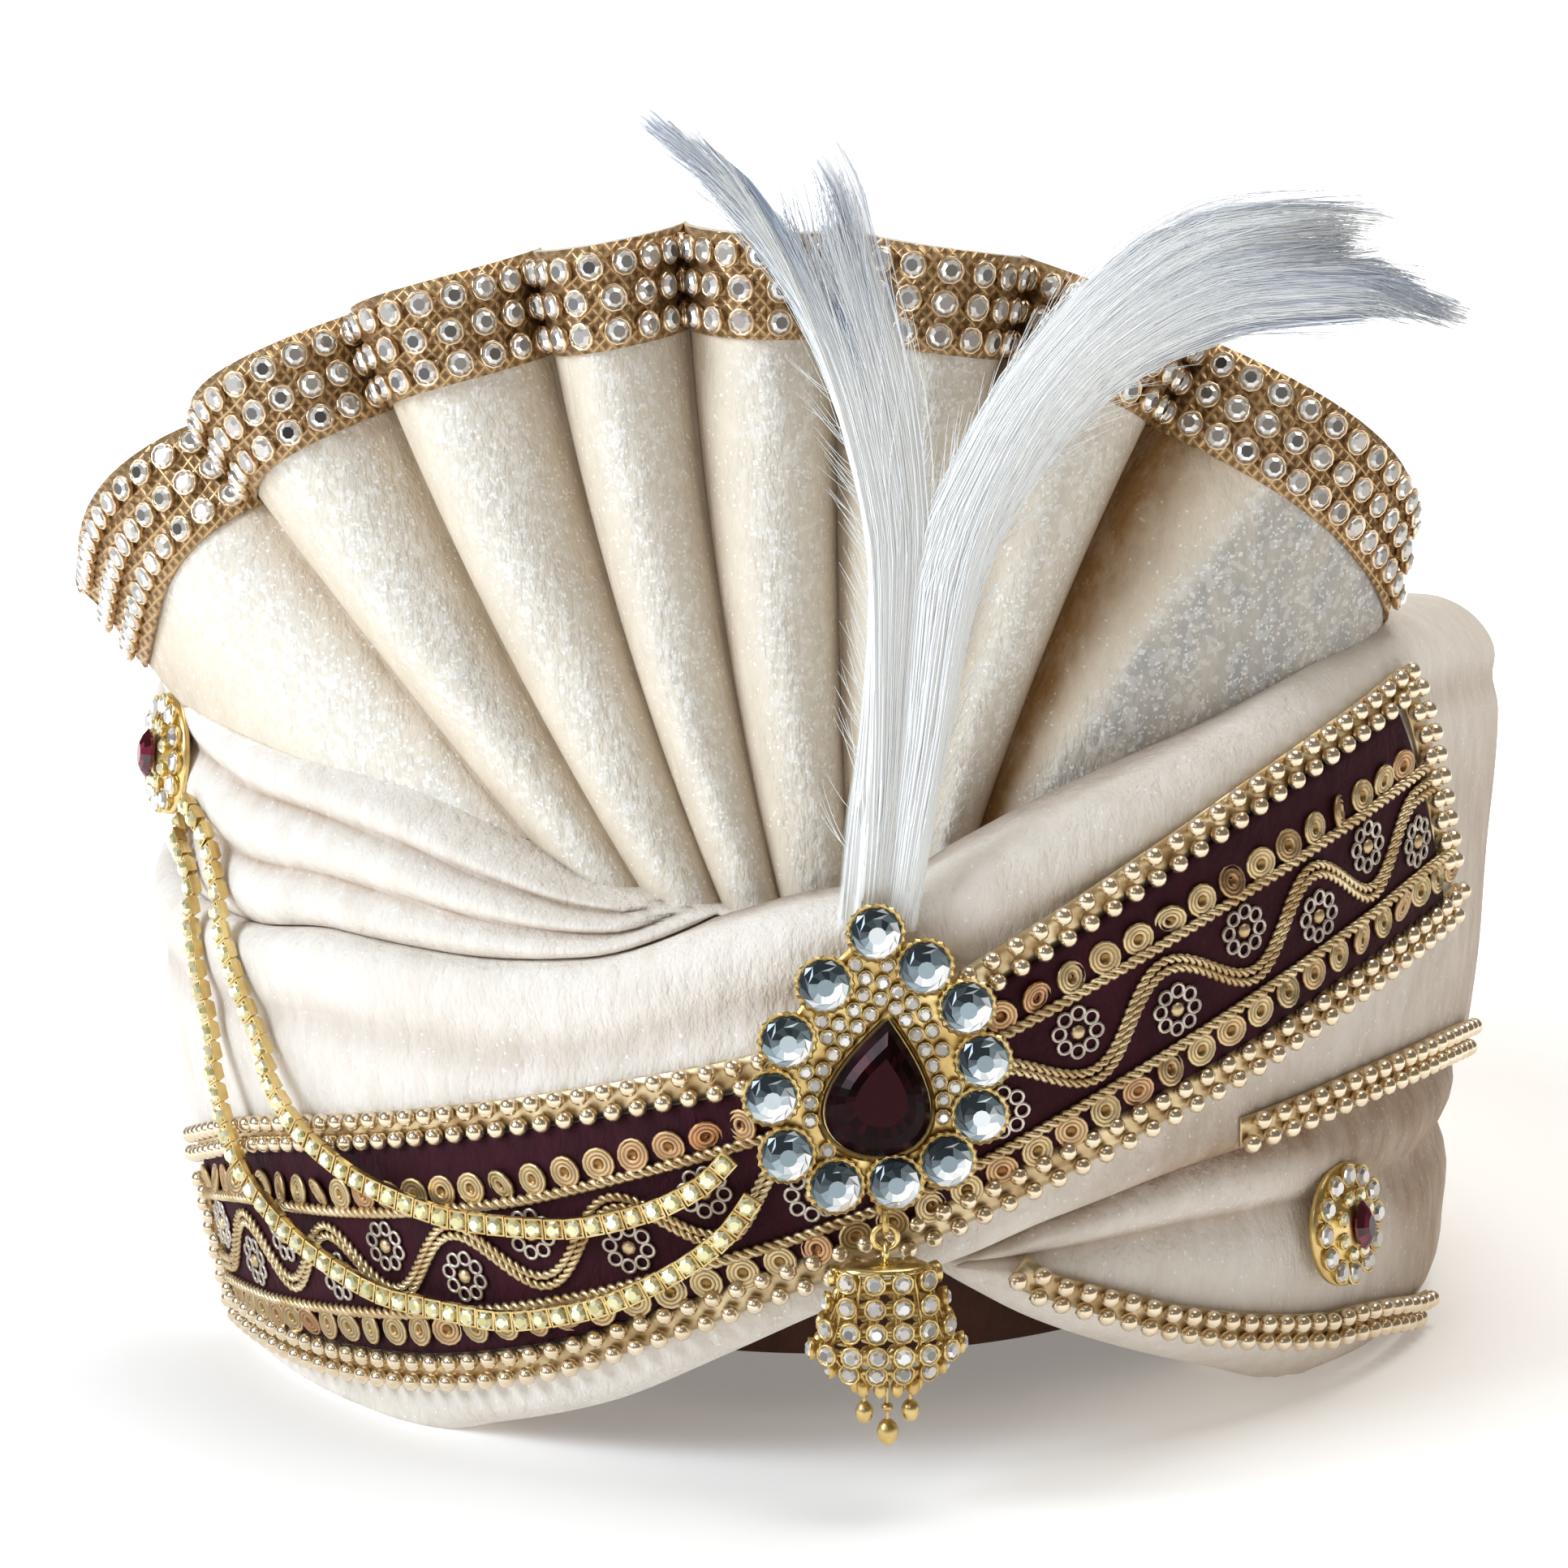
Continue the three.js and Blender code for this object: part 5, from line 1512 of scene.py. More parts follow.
# %% Main brooch: stones
STONE_RADIUS = 4.3
STONE_SEAT = 3.2
ROSE_CUT = [(0.9, 0.0), (1.0, 0.8), (0.9, 1.45), (0.66, 2.1), (0.34, 2.45)]
TEAR_CUT = [(0.94, 0.0), (1.0, 0.9), (0.86, 2.4), (0.68, 3.6), (0.5, 4.1)]


def rose_stone(radius, height, sides=12):
    """Domed stone of four bands of facets, each band turned half a side from the one below."""
    points, faces = turned_to(radius, height / ROSE_CUT[-1][1], ROSE_CUT, sides)
    level = np.arange(len(points)) // sides
    spin = np.pi / sides * (level % 2)
    x = points[:, 0] * np.cos(spin) - points[:, 1] * np.sin(spin)
    y = points[:, 0] * np.sin(spin) + points[:, 1] * np.cos(spin)
    return np.stack([x, y, points[:, 2]], 1), faces


seats = ring_spots + [0, 0, STONE_SEAT - 0.4]
ring_stones = stood(repeat(rose_stone(STONE_RADIUS, 2.5), seats, flat_frames(12)))
tones = mirrored(ring_stones, (0, 0, 1), (1, 0, 0))
round_stones = glass_piece("ring_stones", ring_stones, CRYSTAL, tones)
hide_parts(*[f"round_stone_{k:02d}" for k in range(1, 13)])

tear = stood(layered(tear_edge, [(scale, STONE_SEAT + z) for scale, z in TEAR_CUT], tear_middle))
teardrop = glass_piece("teardrop_glass", tear, GARNET, facets(tear), "garnet_glass")
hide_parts("teardrop_stone")

# %% [markdown]
# A drop swings from the brooch on a jump ring, so the ring and the drop are pieces of their own that ride
# on their own bodies. The drop is a flattened bell of five rows of small crystals in gold cups. The rows
# grow wider downwards, and the last one draws in again. A flattened ring of places gives each row.

# %% Jump ring and the bell's rows
JUMP_PLACE = np.array([-4.0, -151.25, 47.72])
LOOP_PLACE = np.array([-4.0, -151.25, 45.24])
BELL_TOP = np.array([-4.0, -151.25, 43.34])
DROP_DEPTH = 0.54
BELL_ROWS = [(8.0, -2.2), (9.0, -6.2), (10.2, -10.2), (11.7, -14.0), (8.6, -17.4)]
BELL_PITCH = 4.05
BELL_SIDES = 40

jump_shape = repeat(wire_ring(2.0, WIRE, 28, 10), JUMP_PLACE[None], AXIS_Y)
jump = new_piece("jump_ring_wire", jump_shape, GOLD, "gold_metal", body="ring")
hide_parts("jump_ring")


def oval_places(half, below, pitch):
    """Places and frames round the bell at a height, facing out."""
    angle = np.linspace(0, 2 * np.pi, 400)
    path = np.stack([half * np.sin(angle), -half * DROP_DEPTH * np.cos(angle), np.full(400, below)], 1)
    steps = even_steps(path, pitch)
    places = at_steps(path, steps)
    facing = places * [1.0, 1.0 / DROP_DEPTH**2, 0.0]
    return places, frames_of(np.broadcast_to(np.array([0, 0, 1.0]), places.shape), facing)


def hooped(profile, sides):
    """Ring turned about Z from a closed section of (radius, height)."""
    table = np.array(profile, float)
    angle = 2 * np.pi * np.arange(sides)[None, :] / sides
    x = table[:, :1] * np.cos(angle)
    y = table[:, :1] * np.sin(angle)
    points = np.stack(np.broadcast_arrays(x, y, table[:, 1:]), -1)
    return outward((points.reshape(-1, 3), [grid_faces(len(table), sides, True, True)]))


def squeezed(shape):
    """A turned bell flattened from front to back."""
    points, faces = shape
    return points * [1.0, DROP_DEPTH, 1.0], faces


cap = squeezed(turned([(1.5, 0.3), (6.4, -0.1), (8.0, -0.9), (7.4, -1.3), (1.5, -0.7)], BELL_SIDES))
row_sets = [oval_places(half, below, BELL_PITCH) for half, below in BELL_ROWS]
bell_places = np.concatenate([p for p, _ in row_sets])
bell_frames = np.concatenate([f for _, f in row_sets])
bell_cups = repeat(cup(1.95, 1.6), bell_places - 0.5 * bell_frames[:, 2], bell_frames)

# %% [markdown]
# Behind the cups a gold hoop runs along each row, thin stays tie the rows together, and below hang a fringe
# of beads and three wires that end in beads. All this gold is soldered, so it is joined into one piece.

# %% Drop
STAYS = 14
STAY_ROWS = np.array([(8.0, -0.6), *BELL_ROWS, (5.4, -20.4)])
FRINGE_TOP = -20.3
HANGERS = ((-3.8, 5.0, 1.5), (0.0, 8.6, 1.8), (3.8, 5.0, 1.5))


def bell_hoop(half, below):
    """Flat gold hoop behind one row of the bell: a square section carried round."""
    corners = ((0.84, -0.5), (0.92, -0.5), (0.92, 0.5), (0.84, 0.5))
    return squeezed(hooped([(half * share, below + z) for share, z in corners], BELL_SIDES))


def bell_stay(angle):
    """Wire down the bell's side at an angle round it, just inside every row."""
    half = STAY_ROWS[:, 0] * 0.9
    line = np.stack([half * np.sin(angle), -half * DROP_DEPTH * np.cos(angle), STAY_ROWS[:, 1]], 1)
    return swept(line, 0.38, 6, np.array([1.0, 0.3, 0.0]))


def hanger(sideways, length, size):
    """Wire that hangs from the fringe, with a bead on its end and a smaller one above it."""
    top = np.array([sideways, 0, FRINGE_TOP])
    end = np.array([sideways, 0, FRINGE_TOP - length])
    wire = swept(np.linspace(top, end, 8), 0.32, 6, np.array([0.0, 1.0, 0.0]))
    large = repeat(bead(size, 1.3, 12, 8), end[None], flat_frames(1))
    small = repeat(bead(size * 0.55, 0.8), end[None] + [0, 0, 2.4 * size], flat_frames(1))
    return together(wire, large, small)


hoops = [bell_hoop(half, below) for half, below in BELL_ROWS]
stays = [bell_stay(angle) for angle in 2 * np.pi * (np.arange(STAYS) + 0.5) / STAYS]
fringe_places, _ = oval_places(5.2, -20.6, 2.6)
fringe = repeat(bead(1.15, 1.5), fringe_places, flat_frames(len(fringe_places)))
hangers = [hanger(*row) for row in HANGERS]
loop = repeat(wire_ring(EYE_RADIUS, WIRE, 28, 10), (LOOP_PLACE - BELL_TOP)[None], AXIS_X)
drop_points, drop_faces = together(cap, bell_cups, *hoops, *stays, fringe, *hangers, loop)
drop = new_piece("drop_gold", (drop_points + BELL_TOP, drop_faces), GOLD, "gold_metal", body="drop")
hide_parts("drop")
crystals = repeat(brilliant(1.5, 1.0), bell_places + 0.7 * bell_frames[:, 2] + BELL_TOP, bell_frames)
glass_piece("drop_crystals", crystals, CLEAR, cut_tones(crystals, (0.4, 1.0), (0.1, 0.9)), body="drop")

# %% [markdown]
# Two cup chains swag from the left brooch to the main one. A cup chain is a row of square cups, each with
# a stone, joined by short links. The line of the chain rides over whatever lies on the cloth below it, so
# its height is the highest ground within a cup or two, smoothed.

# %% Cup chains: their lines
CHAIN_REST = 0.45
CHAIN_PITCH = 3.75
CHAIN_REACH = 24
CHAIN_OUTER = [
    (-74.0, 98.0),
    (-73.2, 95.6),
    (-69.8, 90.5),
    (-67.9, 83),
    (-66.5, 72.5),
    (-63.5, 56),
    (-59.5, 40.5),
    (-51, 30.5),
    (-42, 26.5),
    (-34, 26.5),
    (-26, 30),
    (-19, 37),
    (-13.5, 46),
    (-11.2, 53),
]
CHAIN_INNER = [
    (-69.2, 103.5),
    (-66.4, 100),
    (-64, 92),
    (-60.5, 79),
    (-56, 64.5),
    (-50.5, 53),
    (-43, 46.5),
    (-35, 44),
    (-27, 45),
    (-20, 49),
    (-15, 55),
    (-12.8, 60),
]


def cloth_face(turn, height):
    """Outermost cloth at a turn and height."""
    covered = (height > over_low(turn)) & (height < over_high(turn))
    return np.where(covered, over_face(turn, height), under_face(turn, height))


def chain_line(rows):
    """Points and normals of a chain's underside, lying over the cloth and the band."""
    table = [(k, turn, height) for k, (turn, height) in enumerate(rows)]
    s = np.linspace(0, len(rows) - 1, 700)
    turn = curve_of(table, 1)(s)
    height = curve_of(table, 2)(s)
    on = (turn > BAND_ENDS["left_high"]) & (height > band_low(turn) - 4) & (height < band_high(turn) + 4)
    ground = cloth_face(turn, height) + np.where(on, GAP + TRIM_HEIGHT, 0.0)
    longer = np.pad(ground, 60, mode="edge")
    near = [np.roll(longer, k)[60:-60] for k in range(-CHAIN_REACH, CHAIN_REACH + 1, 4)]
    highest = np.stack(near).max(0)
    kernel = np.hanning(45) / np.hanning(45).sum()
    smooth = np.convolve(np.pad(highest, 22, mode="edge"), kernel, mode="valid")
    angle = np.radians(turn)
    facing = np.stack([np.sin(angle), -np.cos(angle), 0 * angle], 1)
    return around(turn, np.maximum(smooth, ground) + CHAIN_REST, height), facing


# %% [markdown]
# A square cup is a square outline in five layers, open at the top, and its stone is an eight-sided outline
# in four. Both are copied along the line, and a thin wire under them stands for the short links.

# %% Cup chains: cups and stones


def square_cup():
    """Square cup with sloping walls and an open top for its stone."""
    corner = np.array([(1, 1), (-1, 1), (-1, -1), (1, -1)])
    levels = [(1.25, 0.0), (1.72, 1.0), (1.72, 2.0), (1.42, 2.05), (1.3, 1.6)]
    return layered(corner, levels)


def square_stone():
    """Square-cut stone: eight sides, sloping to a table."""
    a = np.pi / 4 * (np.arange(8) + 0.5)
    outline = np.stack([np.cos(a), np.sin(a)], 1) * 1.62
    return layered(outline, [(0.8, 1.5), (0.98, 2.0), (0.8, 2.6), (0.5, 2.95)])


for name, rows in (("chain_outer", CHAIN_OUTER), ("chain_inner", CHAIN_INNER)):
    points, facing = chain_line(rows)
    steps = even_steps(points, CHAIN_PITCH)
    places = at_steps(points, steps)
    frames = frames_of(at_steps(np.gradient(points, axis=0), steps), at_steps(facing, steps))
    links = swept(points[::6] + 0.9 * facing[::6], 0.5, 6, facing[::6])
    chain = together(repeat(square_cup(), places, frames), links)
    cups = new_piece(f"{name}_cups", chain, GOLD, "gold_metal", smooth=False)
    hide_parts(name)
    stones = repeat(square_stone(), places, frames)
    glass_piece(f"{name}_stones", stones, CITRINE, facets(stones, 0.3, 1.0))

# %% [markdown]
# A small round brooch is pinned on each side: a gold dome with a ring of crystals, a smaller ring of
# citrines, and a ruby marquise in its middle. It is made flat, then seated on the under wrap with its Z
# along the cloth's normal.

# %% Side brooches
SIDE_DOME = 4.2
SIDES = {"left": (-75.0, 109.0, 0.2), "right": (43.4, 31.0, 2.0)}
SIDE_PROFILE = [(10.2, 0), (10.9, 0.3), (10.9, 1.2), (9.6, 1.7)]
SIDE_PROFILE += [(7.0, 2.3), (5.0, 3.2), (3.2, 3.9), (1.0, 4.1)]


def side_seat(turn, height, lift, step=2.0):
    """Place and frame of a side brooch on the under wrap, level with the cloth over a few millimetres."""
    along = unit(spot_on(under_face, turn + step, height) - spot_on(under_face, turn - step, height))
    up = unit(spot_on(under_face, turn, height + 3 * step) - spot_on(under_face, turn, height - 3 * step))
    out = unit(np.cross(along, up))
    rise = unit(np.cross(out, along))
    return spot_on(under_face, turn, height) + lift * out, np.stack([along, rise, out])


def marquise(long, wide, height):
    """Marquise stone: a pointed oval with a girdle, a crown and a table, set on the dome."""
    a = 2 * np.pi * np.arange(16) / 16
    outline = np.stack([np.sin(a) * np.abs(np.sin(a)) ** 0.4 * wide / 2, np.cos(a) * long / 2], 1)
    points, faces = layered(outline, [(0.92, 0.0), (1.0, 0.6), (0.72, height * 0.75), (0.45, height)])
    return points + [0, 0, SIDE_DOME + 0.2], faces


def cup_ring(angle, half_wide, half_high, level, cup_size, stone_size, sink):
    """Ring of cups with their stones, each turned so that its X points away from the middle."""
    c = np.cos(angle)
    s = np.sin(angle)
    zero = 0 * angle
    rows = [np.stack(row, 1) for row in ((c, s, zero), (-s, c, zero), (zero, zero, zero + 1))]
    frames = np.stack(rows, 1)
    spots = np.stack([half_wide * c, half_high * s, zero + level], 1)
    return repeat(cup(*cup_size), spots, frames), repeat(brilliant(*stone_size), spots + [0, 0, sink], frames)


def seated(shape, place, seat):
    """A flat side brooch's shape on its seat."""
    points, faces = shape
    return points @ seat + place, faces


rim_angle = 2 * np.pi * np.arange(12) / 12
inner_angle = 2 * np.pi * (np.arange(8) + 0.5) / 8
rim_cups, rim_stones = cup_ring(rim_angle, 8.7, 8.7, 1.1, (2.3, 1.6), (1.95, 1.2), 1.1)
inner_cups, inner_stones = cup_ring(inner_angle, 4.6, 5.2, 2.4, (1.65, 1.3), (1.35, 0.9), 0.9)
side_gold = together(turned(SIDE_PROFILE, 40), rim_cups, inner_cups)

for side, (turn, height, lift) in SIDES.items():
    place, seat = side_seat(turn, height, lift)
    gold = new_piece(f"side_flower_{side}", seated(side_gold, place, seat), GOLD, "gold_metal")
    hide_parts(f"side_brooch_{side}")
    for ring, stones, look in (("crystals", rim_stones, CLEAR), ("citrines", inner_stones, CITRINE)):
        glass = seated(stones, place, seat)
        glass_piece(f"side_{ring}_{side}", glass, look, facets(glass, 0.25, 1.0))
    ruby = seated(marquise(9.0, 5.0, 2.2), place, seat)
    middle_stone = glass_piece(f"side_marquise_{side}", ruby, RUBY, facets(ruby), "garnet_glass")
    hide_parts(f"side_stone_{side}")

# %% [markdown]
# A plume is a quill with a soft vane of fine barbs. Hair particles could make it, but an export leaves hair
# behind, so the vane is a thin sheet along the quill with real barbs and loose hairs on it. Tables give the
# quill's line, the vane's half widths on both sides, and where the barbs of each lane end.

# %% Plumes: quills, widths and ends
FEATHER_LEFT = [
    (-6.0, -146.0, 98),
    (-4.8, -146.0, 112),
    (-3.8, -145.0, 131),
    (-3.6, -143.5, 156),
    (-7.6, -141.5, 180),
    (-15.5, -140.5, 203),
    (-26.5, -141.5, 221),
    (-40.0, -144.5, 232),
]
FEATHER_RIGHT = [
    (0.4, -146.0, 98),
    (3.0, -146.0, 112),
    (7.4, -145.0, 133),
    (11.5, -143.5, 155),
    (21.0, -142.0, 177),
    (36.0, -141.5, 194),
    (56.0, -142.5, 204),
    (76.0, -145.5, 205),
    (93.0, -149.5, 196),
]
LEFT_HALVES = [
    (0, 5.0, 3.2),
    (0.12, 4.6, 5.1),
    (0.2, 3.2, 6.0),
    (0.27, 2.0, 7.0),
    (0.36, 0.9, 8.6),
    (0.45, 0.6, 10.8),
    (0.56, 0.6, 13.2),
    (0.67, 1.2, 14.6),
    (0.74, 1.8, 16.4),
    (0.81, 3.2, 19.3),
    (0.9, 3.4, 19.5),
    (1.0, 1.4, 13.0),
]
RIGHT_HALVES = [
    (0, 5.0, 2.2),
    (0.1, 6.6, 1.8),
    (0.25, 9.0, 1.8),
    (0.36, 10.4, 3.0),
    (0.45, 9.0, 5.6),
    (0.56, 8.8, 7.9),
    (0.64, 10.2, 9.6),
    (0.71, 11.3, 11.8),
    (0.82, 10.4, 11.3),
    (0.9, 8.4, 10.4),
    (1.0, 6.0, 3.0),
]
LEFT_ENDS = [
    (-1.0, 0.78),
    (-0.85, 0.84),
    (-0.6, 0.82),
    (-0.42, 0.75),
    (-0.3, 0.69),
    (-0.2, 0.78),
    (-0.05, 0.93),
    (0.4, 1.0),
    (0.75, 0.93),
    (1.0, 0.82),
]
RIGHT_ENDS = [
    (-1.0, 0.92),
    (-0.7, 0.99),
    (-0.4, 1.0),
    (-0.15, 0.95),
    (0.15, 0.87),
    (0.5, 0.88),
    (0.85, 0.9),
    (1.0, 0.86),
]

# %% [markdown]
# A sheet alone would look cut with scissors. Its finish thins out towards the edges and the ends, where only
# single streaks stay. The streaks are noise on the piece's own lanes, so they run with the barbs round every
# bend. The tips of some locks carry a painted blue-grey shade, the others stay white, and a faint painted
# glow lifts the shade between the barbs.

# %% Plumes: finish


def plume_finish(name, soft):
    """Barbs: white at the quill, with a painted blue-grey shade towards the tips of some locks, in streaks
    along the lanes, and a faint painted glow.

    A soft vane also thins out at its edges and ends.
    """
    # Painted light: a faint glow in the barbs' own tone lifts the shade between them.
    material, first, shader = new_finish(name, Emission_Strength=0.06, Specular_IOR_Level=0.1)
    lane = field(first, "lane")
    along = field(first, "along")
    place = first.node("ShaderNodeCombineXYZ", sockets={0: lane, 1: 0.05 * along, 2: field(first, "seed")})
    streak = grain(first, 26.0, 3.0, 0.6, place)
    lock = grain(first, 7.0, 2.0, 0.5, place)
    tone = blend(first, within(first, streak, 0.35, 0.75), ink("f8f8f5"), ink("e2e5e6"))
    # Painted shade: blue-grey towards the tips, stronger in some locks.
    tip_shade = within(first, along, 0.6, 0.95) * (0.1 + within(first, lock, 0.4, 0.6))
    tone = blend(first, tip_shade, tone, ink("8a95aa"))
    feed(shader, Base_Color=tone, Emission_Color=tone, Roughness=0.75 + 0.2 * streak)
    if soft:
        edge = 1.0 - first.math("ABSOLUTE", lane, 0.0) + 0.5 * (streak - 0.5)
        end = 1.0 - along + 0.5 * (lock - 0.5) + 0.16 * (streak - 0.5)
        feed(shader, Alpha=within(first, edge, 0.02, 0.3) * within(first, end, 0.02, 0.13))
    return material


VANE = plume_finish("white_feather", True)
BARBS = plume_finish("white_barbs", False)

# %% [markdown]
# Everything in a plume is placed by two numbers: the share along the quill and the lane beside it. One class
# turns them into a point, so the vane, the barbs and the hairs all follow the same curve.

# %% Plumes: quill and vane


def quill_line(rows):
    """Functions of a share along the quill that give its point and its sideways and facing directions."""
    table = np.array(rows, float)
    length = np.concatenate([[0], np.cumsum(np.linalg.norm(np.diff(table, axis=0), axis=1))])
    share = length / length[-1]
    axes = [curve_of(np.stack([share, table[:, k]], 1)) for k in range(3)]

    def point(s):
        held = np.clip(s, 0, 1)
        ahead = (s - held)[..., None] * length[-1]
        inside = np.stack([axis(held) for axis in axes], -1)
        return inside + ahead * heading(held)

    def heading(s):
        low = np.clip(s - 0.02, 0, 1)
        high = np.clip(s + 0.02, 0, 1)
        return unit(np.stack([axis(high) - axis(low) for axis in axes], -1))

    return point, heading


class Quill:
    """A plume's quill with the half widths of its vane: lane -1 is one edge, lane 1 the other."""

    def __init__(self, rows, halves, ends):
        self.point, self.heading = quill_line(rows)
        self.wide = [curve_of(halves, 1), curve_of(halves, 2)]
        self.end = curve_of(ends)

    def spot(self, s, sideways, lift):
        """Point at a share along the quill, moved sideways and towards the front."""
        ahead = self.heading(np.clip(s, 0, 1))
        side = unit(np.cross(ahead, np.array([0.0, 1.0, 0.0])))
        face = np.cross(ahead, side)
        face = np.where(face[..., 1:2] > 0, -face, face)
        return self.point(s) + sideways[..., None] * side + lift[..., None] * face, side, face

    def half(self, s, lane):
        """Half width on the lane's own side."""
        return np.where(lane > 0, self.wide[0](s), self.wide[1](s))


def vane(quill):
    """Soft sheet of a plume, its lane and the share along it for each point."""
    lane, along = np.broadcast_arrays(np.linspace(-1, 1, 45)[:, None], np.linspace(0, 1, 90)[None, :])
    s = along * quill.end(lane)
    lift = 1.6 * (1 - lane**2) + 0.25 * np.sin(9 * lane + 4 * along)
    front, _, face = quill.spot(s, quill.half(s, lane) * lane, lift)
    return plate(front, front - 0.3 * face), np.tile(lane.ravel(), 2), np.tile(along.ravel(), 2)


# %% [markdown]
# Each barb leaves the quill, drifts out to a lane of its own, follows the quill's curve and ends where its
# lock ends. So a barb is the quill's line plus a sideways offset that grows and then flares, and all barbs of
# a plume are one array of thin three-sided rods. Loose hairs bend out from both edges low down.

# %% Plumes: barbs, hairs and the pieces
BARB_STATIONS = 11
HAIRS = 150


def thin_rods(centre, side, face, wide):
    """Flat three-sided rods, one along each row of points."""
    count = len(centre)
    corner = 2 * np.pi * np.arange(3) / 3
    ring = np.cos(corner)[:, None] * side[..., None, :] + 0.4 * np.sin(corner)[:, None] * face[..., None, :]
    points = centre[..., None, :] + wide[..., None, None] * ring
    one = BARB_STATIONS * 3
    shift = np.arange(count)[:, None, None] * one
    caps = [np.array([[2, 1, 0]]), np.array([[0, 1, 2]]) + one - 3]
    skins = [grid_faces(BARB_STATIONS, 3, wrap_columns=True), *caps]
    faces = [(f[None] + shift).reshape(-1, f.shape[1]) for f in skins]
    return outward((points.reshape(-1, 3), faces))


def barbs(quill, count, locks, wisp):
    """Fine barbs over the sheet, gathered into locks that end together, their lanes and shares along."""
    lane = np.clip(mix(rng.uniform(-1, 1, count), rng.normal(0, 0.6, count), 0.2), -1.08, 1.08)
    lock = np.round(lane * locks) / locks
    root = 0.7 * rng.uniform(0.0, 1.0, count) ** 0.8
    finish_at = np.maximum(quill.end(lock) - rng.exponential(0.05, count), root + 0.14)
    t = np.linspace(0, 1, BARB_STATIONS)[None, :]
    s = mix(root[:, None], finish_at[:, None], t)
    grow = 1 - np.exp(-(s - root[:, None]) / (0.03 + 0.16 * root[:, None]))
    lane_now = mix(lane[:, None], lock[:, None], 0.6 * within_share(s, 0.66, 1.0))
    stray = rng.normal(0, 1, count) * np.where(rng.uniform(0, 1, count) > 0.95, 2.6, 1.0)
    flare = wisp * stray[:, None] * within_share(t, 0.6, 1.0) ** 2
    spread_out = mix(1.0, grow, 0.7 * (root[:, None] > 0.05))
    sideways = quill.half(s, lane_now) * lane_now * spread_out + flare
    lift = 0.2 + rng.uniform(0, 0.25, count)[:, None] + 1.6 * (1 - np.clip(lane_now, -1, 1) ** 2) * spread_out
    centre, side, face = quill.spot(s, sideways, lift)
    wide = 0.17 * (1 - 0.75 * t**2) * rng.uniform(0.7, 1.25, count)[:, None]
    lanes = np.repeat(np.broadcast_to(lane[:, None], s.shape).ravel(), 3)
    return thin_rods(centre, side, face, wide), lanes, np.repeat(s.ravel(), 3)


def down(quill, count):
    """Loose hairs at both edges of a plume's lower half, bending out and up."""
    lane = np.where(np.arange(count) % 2 == 0, 0.8, -0.8)[:, None]
    root = rng.uniform(0.08, 0.62, count)[:, None]
    t = np.linspace(0, 1, BARB_STATIONS)[None, :]
    s = root + rng.uniform(0.035, 0.07, count)[:, None] * t
    out = rng.uniform(2.0, 5.5, count)[:, None] * t**0.8
    sideways = quill.half(s, lane) * lane + np.sign(lane) * out
    centre, side, face = quill.spot(s, sideways, 0.5 + rng.normal(0, 0.5, count)[:, None] * t)
    wide = 0.1 * (1 - 0.7 * t) * np.ones((count, 1))
    return thin_rods(centre, side, face, wide), np.repeat((lane + 0 * s).ravel(), 3), np.repeat(s.ravel(), 3)


def plume(name, node, rows, halves, ends, count, locks, wisp, seed):
    """A plume: the soft vane, then its barbs, hairs and stem as a second piece."""
    quill = Quill(rows, halves, ends)
    sheet, lane, along = vane(quill)
    piece = new_piece(name, sheet, VANE, "white_feather", lane=lane, along=along, seed=0 * lane + seed)
    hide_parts(node)
    stem_s = np.linspace(0, 0.8, 60)
    stem_line = quill.point(stem_s) + np.array([0, 0.4, 0])
    stem = swept(stem_line, mix(1.0, 0.25, np.linspace(0, 1, 60)), 8, np.array([0.0, 1.0, 0.0]))
    fine, fine_lane, fine_along = barbs(quill, count, locks, wisp)
    loose, loose_lane, loose_along = down(quill, HAIRS)
    extra = np.zeros(len(stem[0]))
    fine_lane = np.concatenate([fine_lane, loose_lane, extra])
    fine_along = np.concatenate([fine_along, loose_along, extra])
    shape = together(fine, loose, stem)
    seeds = 0 * fine_lane + seed
    new_piece(name + "_barbs", shape, BARBS, "white_feather", lane=fine_lane, along=fine_along, seed=seeds)


plume("plume_left", "feather_left", FEATHER_LEFT, LEFT_HALVES, LEFT_ENDS, 1100, 6, 1.2, 0.0)
plume("plume_right", "feather_right", FEATHER_RIGHT, RIGHT_HALVES, RIGHT_ENDS, 1500, 7, 1.2, 5.0)

# %% [markdown]
# The stage is a pale sweep: floor and backdrop in one surface. It glows behind the turban, so that it reads
# as white. Near the turban, at the sides and in front it glows less, because light from there would flatten
# the folds. So wide a glow is found by chance anyway, so it isn't sampled as a lamp, which saves time.

# %% Stage
FLOOR_DROP = 0.05
SWEEP_START = 1500.0
SWEEP_RADIUS = 900.0


def sweep_floor():
    """Floor that curves up into a backdrop behind the turban: a profile carried sideways."""
    bend = np.linspace(0.1, np.pi / 2, 16)
    run = [np.linspace(-3000, SWEEP_START, 20), SWEEP_START + SWEEP_RADIUS * np.sin(bend), [2400, 2400]]
    rise = [np.zeros(20), SWEEP_RADIUS * (1 - np.cos(bend)), [2000, 3600]]
    y = np.concatenate(run)[:, None]
    z = np.concatenate(rise)[:, None] - FLOOR_DROP
    x = np.linspace(-3600, 3600, 9)[None, :]
    points = np.stack(np.broadcast_arrays(x, y, z), -1)
    faces = grid_faces(y.size, x.size)[:, ::-1]
    mesh = bpy.data.meshes.new("pale_sweep")
    mesh.from_pydata((points.reshape(-1, 3) * MM).tolist(), [], faces.tolist())
    mesh.polygons.foreach_set("use_smooth", np.ones(len(faces), bool))
    mesh.materials.append(pale_paper())
    floor = bpy.data.objects.new("pale_sweep", mesh)
    bpy.context.scene.collection.objects.link(floor)


